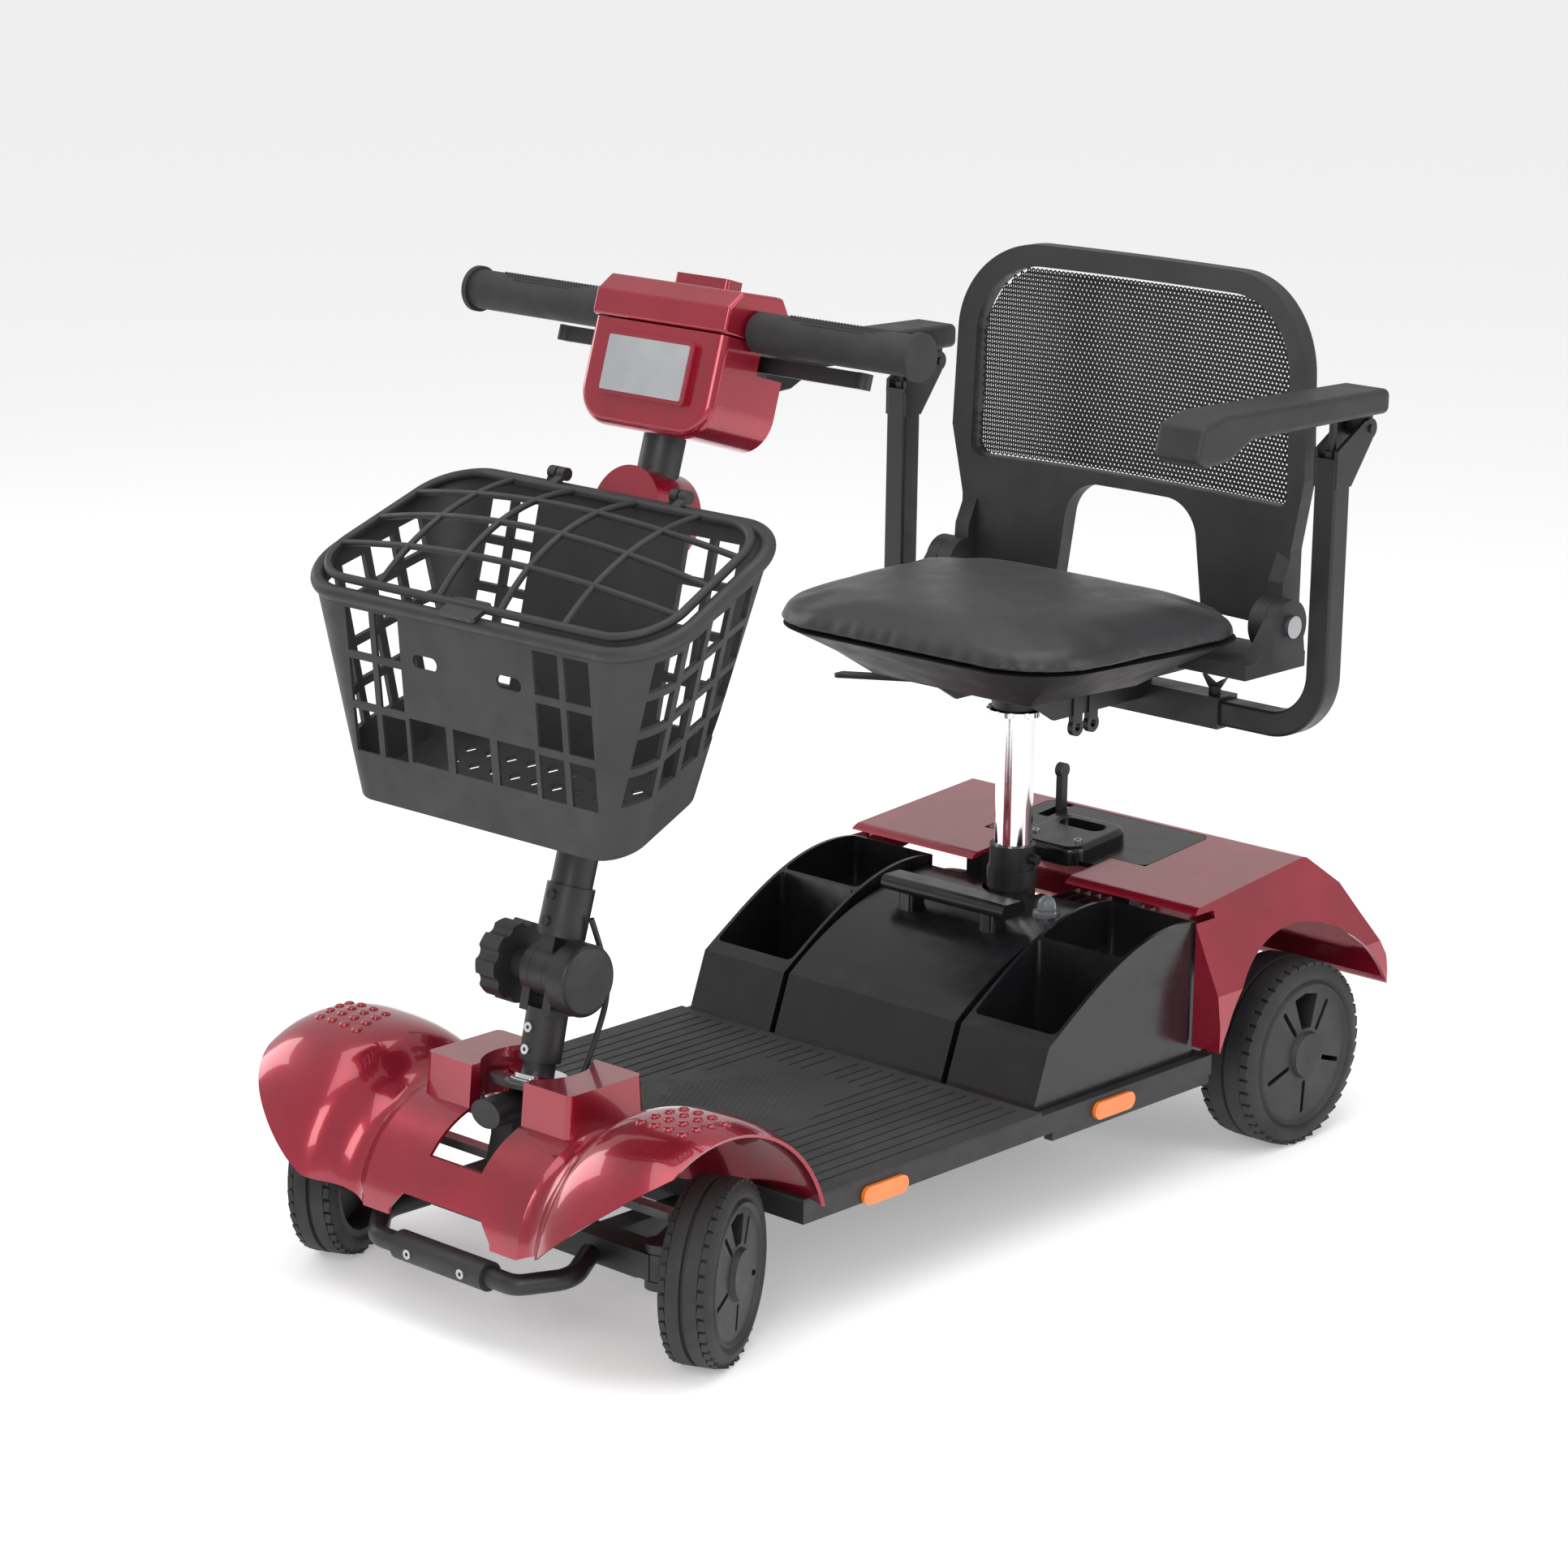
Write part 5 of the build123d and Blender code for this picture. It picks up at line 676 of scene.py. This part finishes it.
relax.to_mesh(cushion.data)
relax.free()
print("cushion now", len(cushion.data.vertices), "points")

# %% [markdown]
# The folds gather along the lower edge of the cover and fade out upwards.

# %% Gathered folds
random.seed(7)
waves = [(random.uniform(38, 95), random.uniform(0, 6.28), random.uniform(0.4, 1.0))
         for _ in range(5)]
for v in cushion.data.vertices:
    away = Vector((v.co.x - heart.x, v.co.y - heart.y, 0))
    if away.length < 0.12:
        continue
    height = (v.co.z - seat_low.z) / thick
    fade = max(0.0, 1 - abs(height - 0.32) / 0.45)
    angle = math.atan2(away.y, away.x)
    gather = sum(w * math.sin(f * angle + p) for f, p, w in waves) / 3
    v.co += away.normalized() * (0.0013 * fade * min(gather, 0.35))
smooth = cushion.modifiers.new("smooth", "SUBSURF")
smooth.levels = smooth.render_levels = 1
applied(cushion)
cushion.data.materials.clear()
cushion.data.materials.append(finishes["cushion_vinyl"])
cushion.data.shade_smooth()
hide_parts("seat_cushion")
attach(cushion, "seat")
print("cushion", len(cushion.data.polygons), "faces")

# %% [markdown]
# ## The tiller cable
# A short sheathed cable runs from the foot of the tiller down into the column. It is one smooth
# spline with a round section, and both of its ends go into the scooter.

# %% Cable
route = [(0.027, -0.354445, 0.352), (0.030, -0.344445, 0.322), (0.031, -0.336445, 0.288),
         (0.029, -0.342445, 0.254), (0.025, -0.367, 0.2005)]
line = bpy.data.curves.new("tiller_lead", "CURVE")
line.dimensions = "3D"
line.bevel_depth = 0.00275
line.bevel_resolution = 4
line.use_fill_caps = True
spline = line.splines.new("NURBS")
spline.points.add(len(route) - 1)
for point, place in zip(spline.points, route):
    point.co = (*place, 1)
spline.use_endpoint_u = True
spline.order_u = 3
spline.resolution_u = 12
line.materials.append(finishes["black_plastic"])
lead = bpy.data.objects.new("tiller_lead", line)
bpy.context.collection.objects.link(lead)
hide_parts("tiller_cable")
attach(lead, "steering")
print("cable on", len(route), "points")

# %% Sizes
low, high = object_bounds()
print("visual box", [round(v, 3) for v in (high - low)])
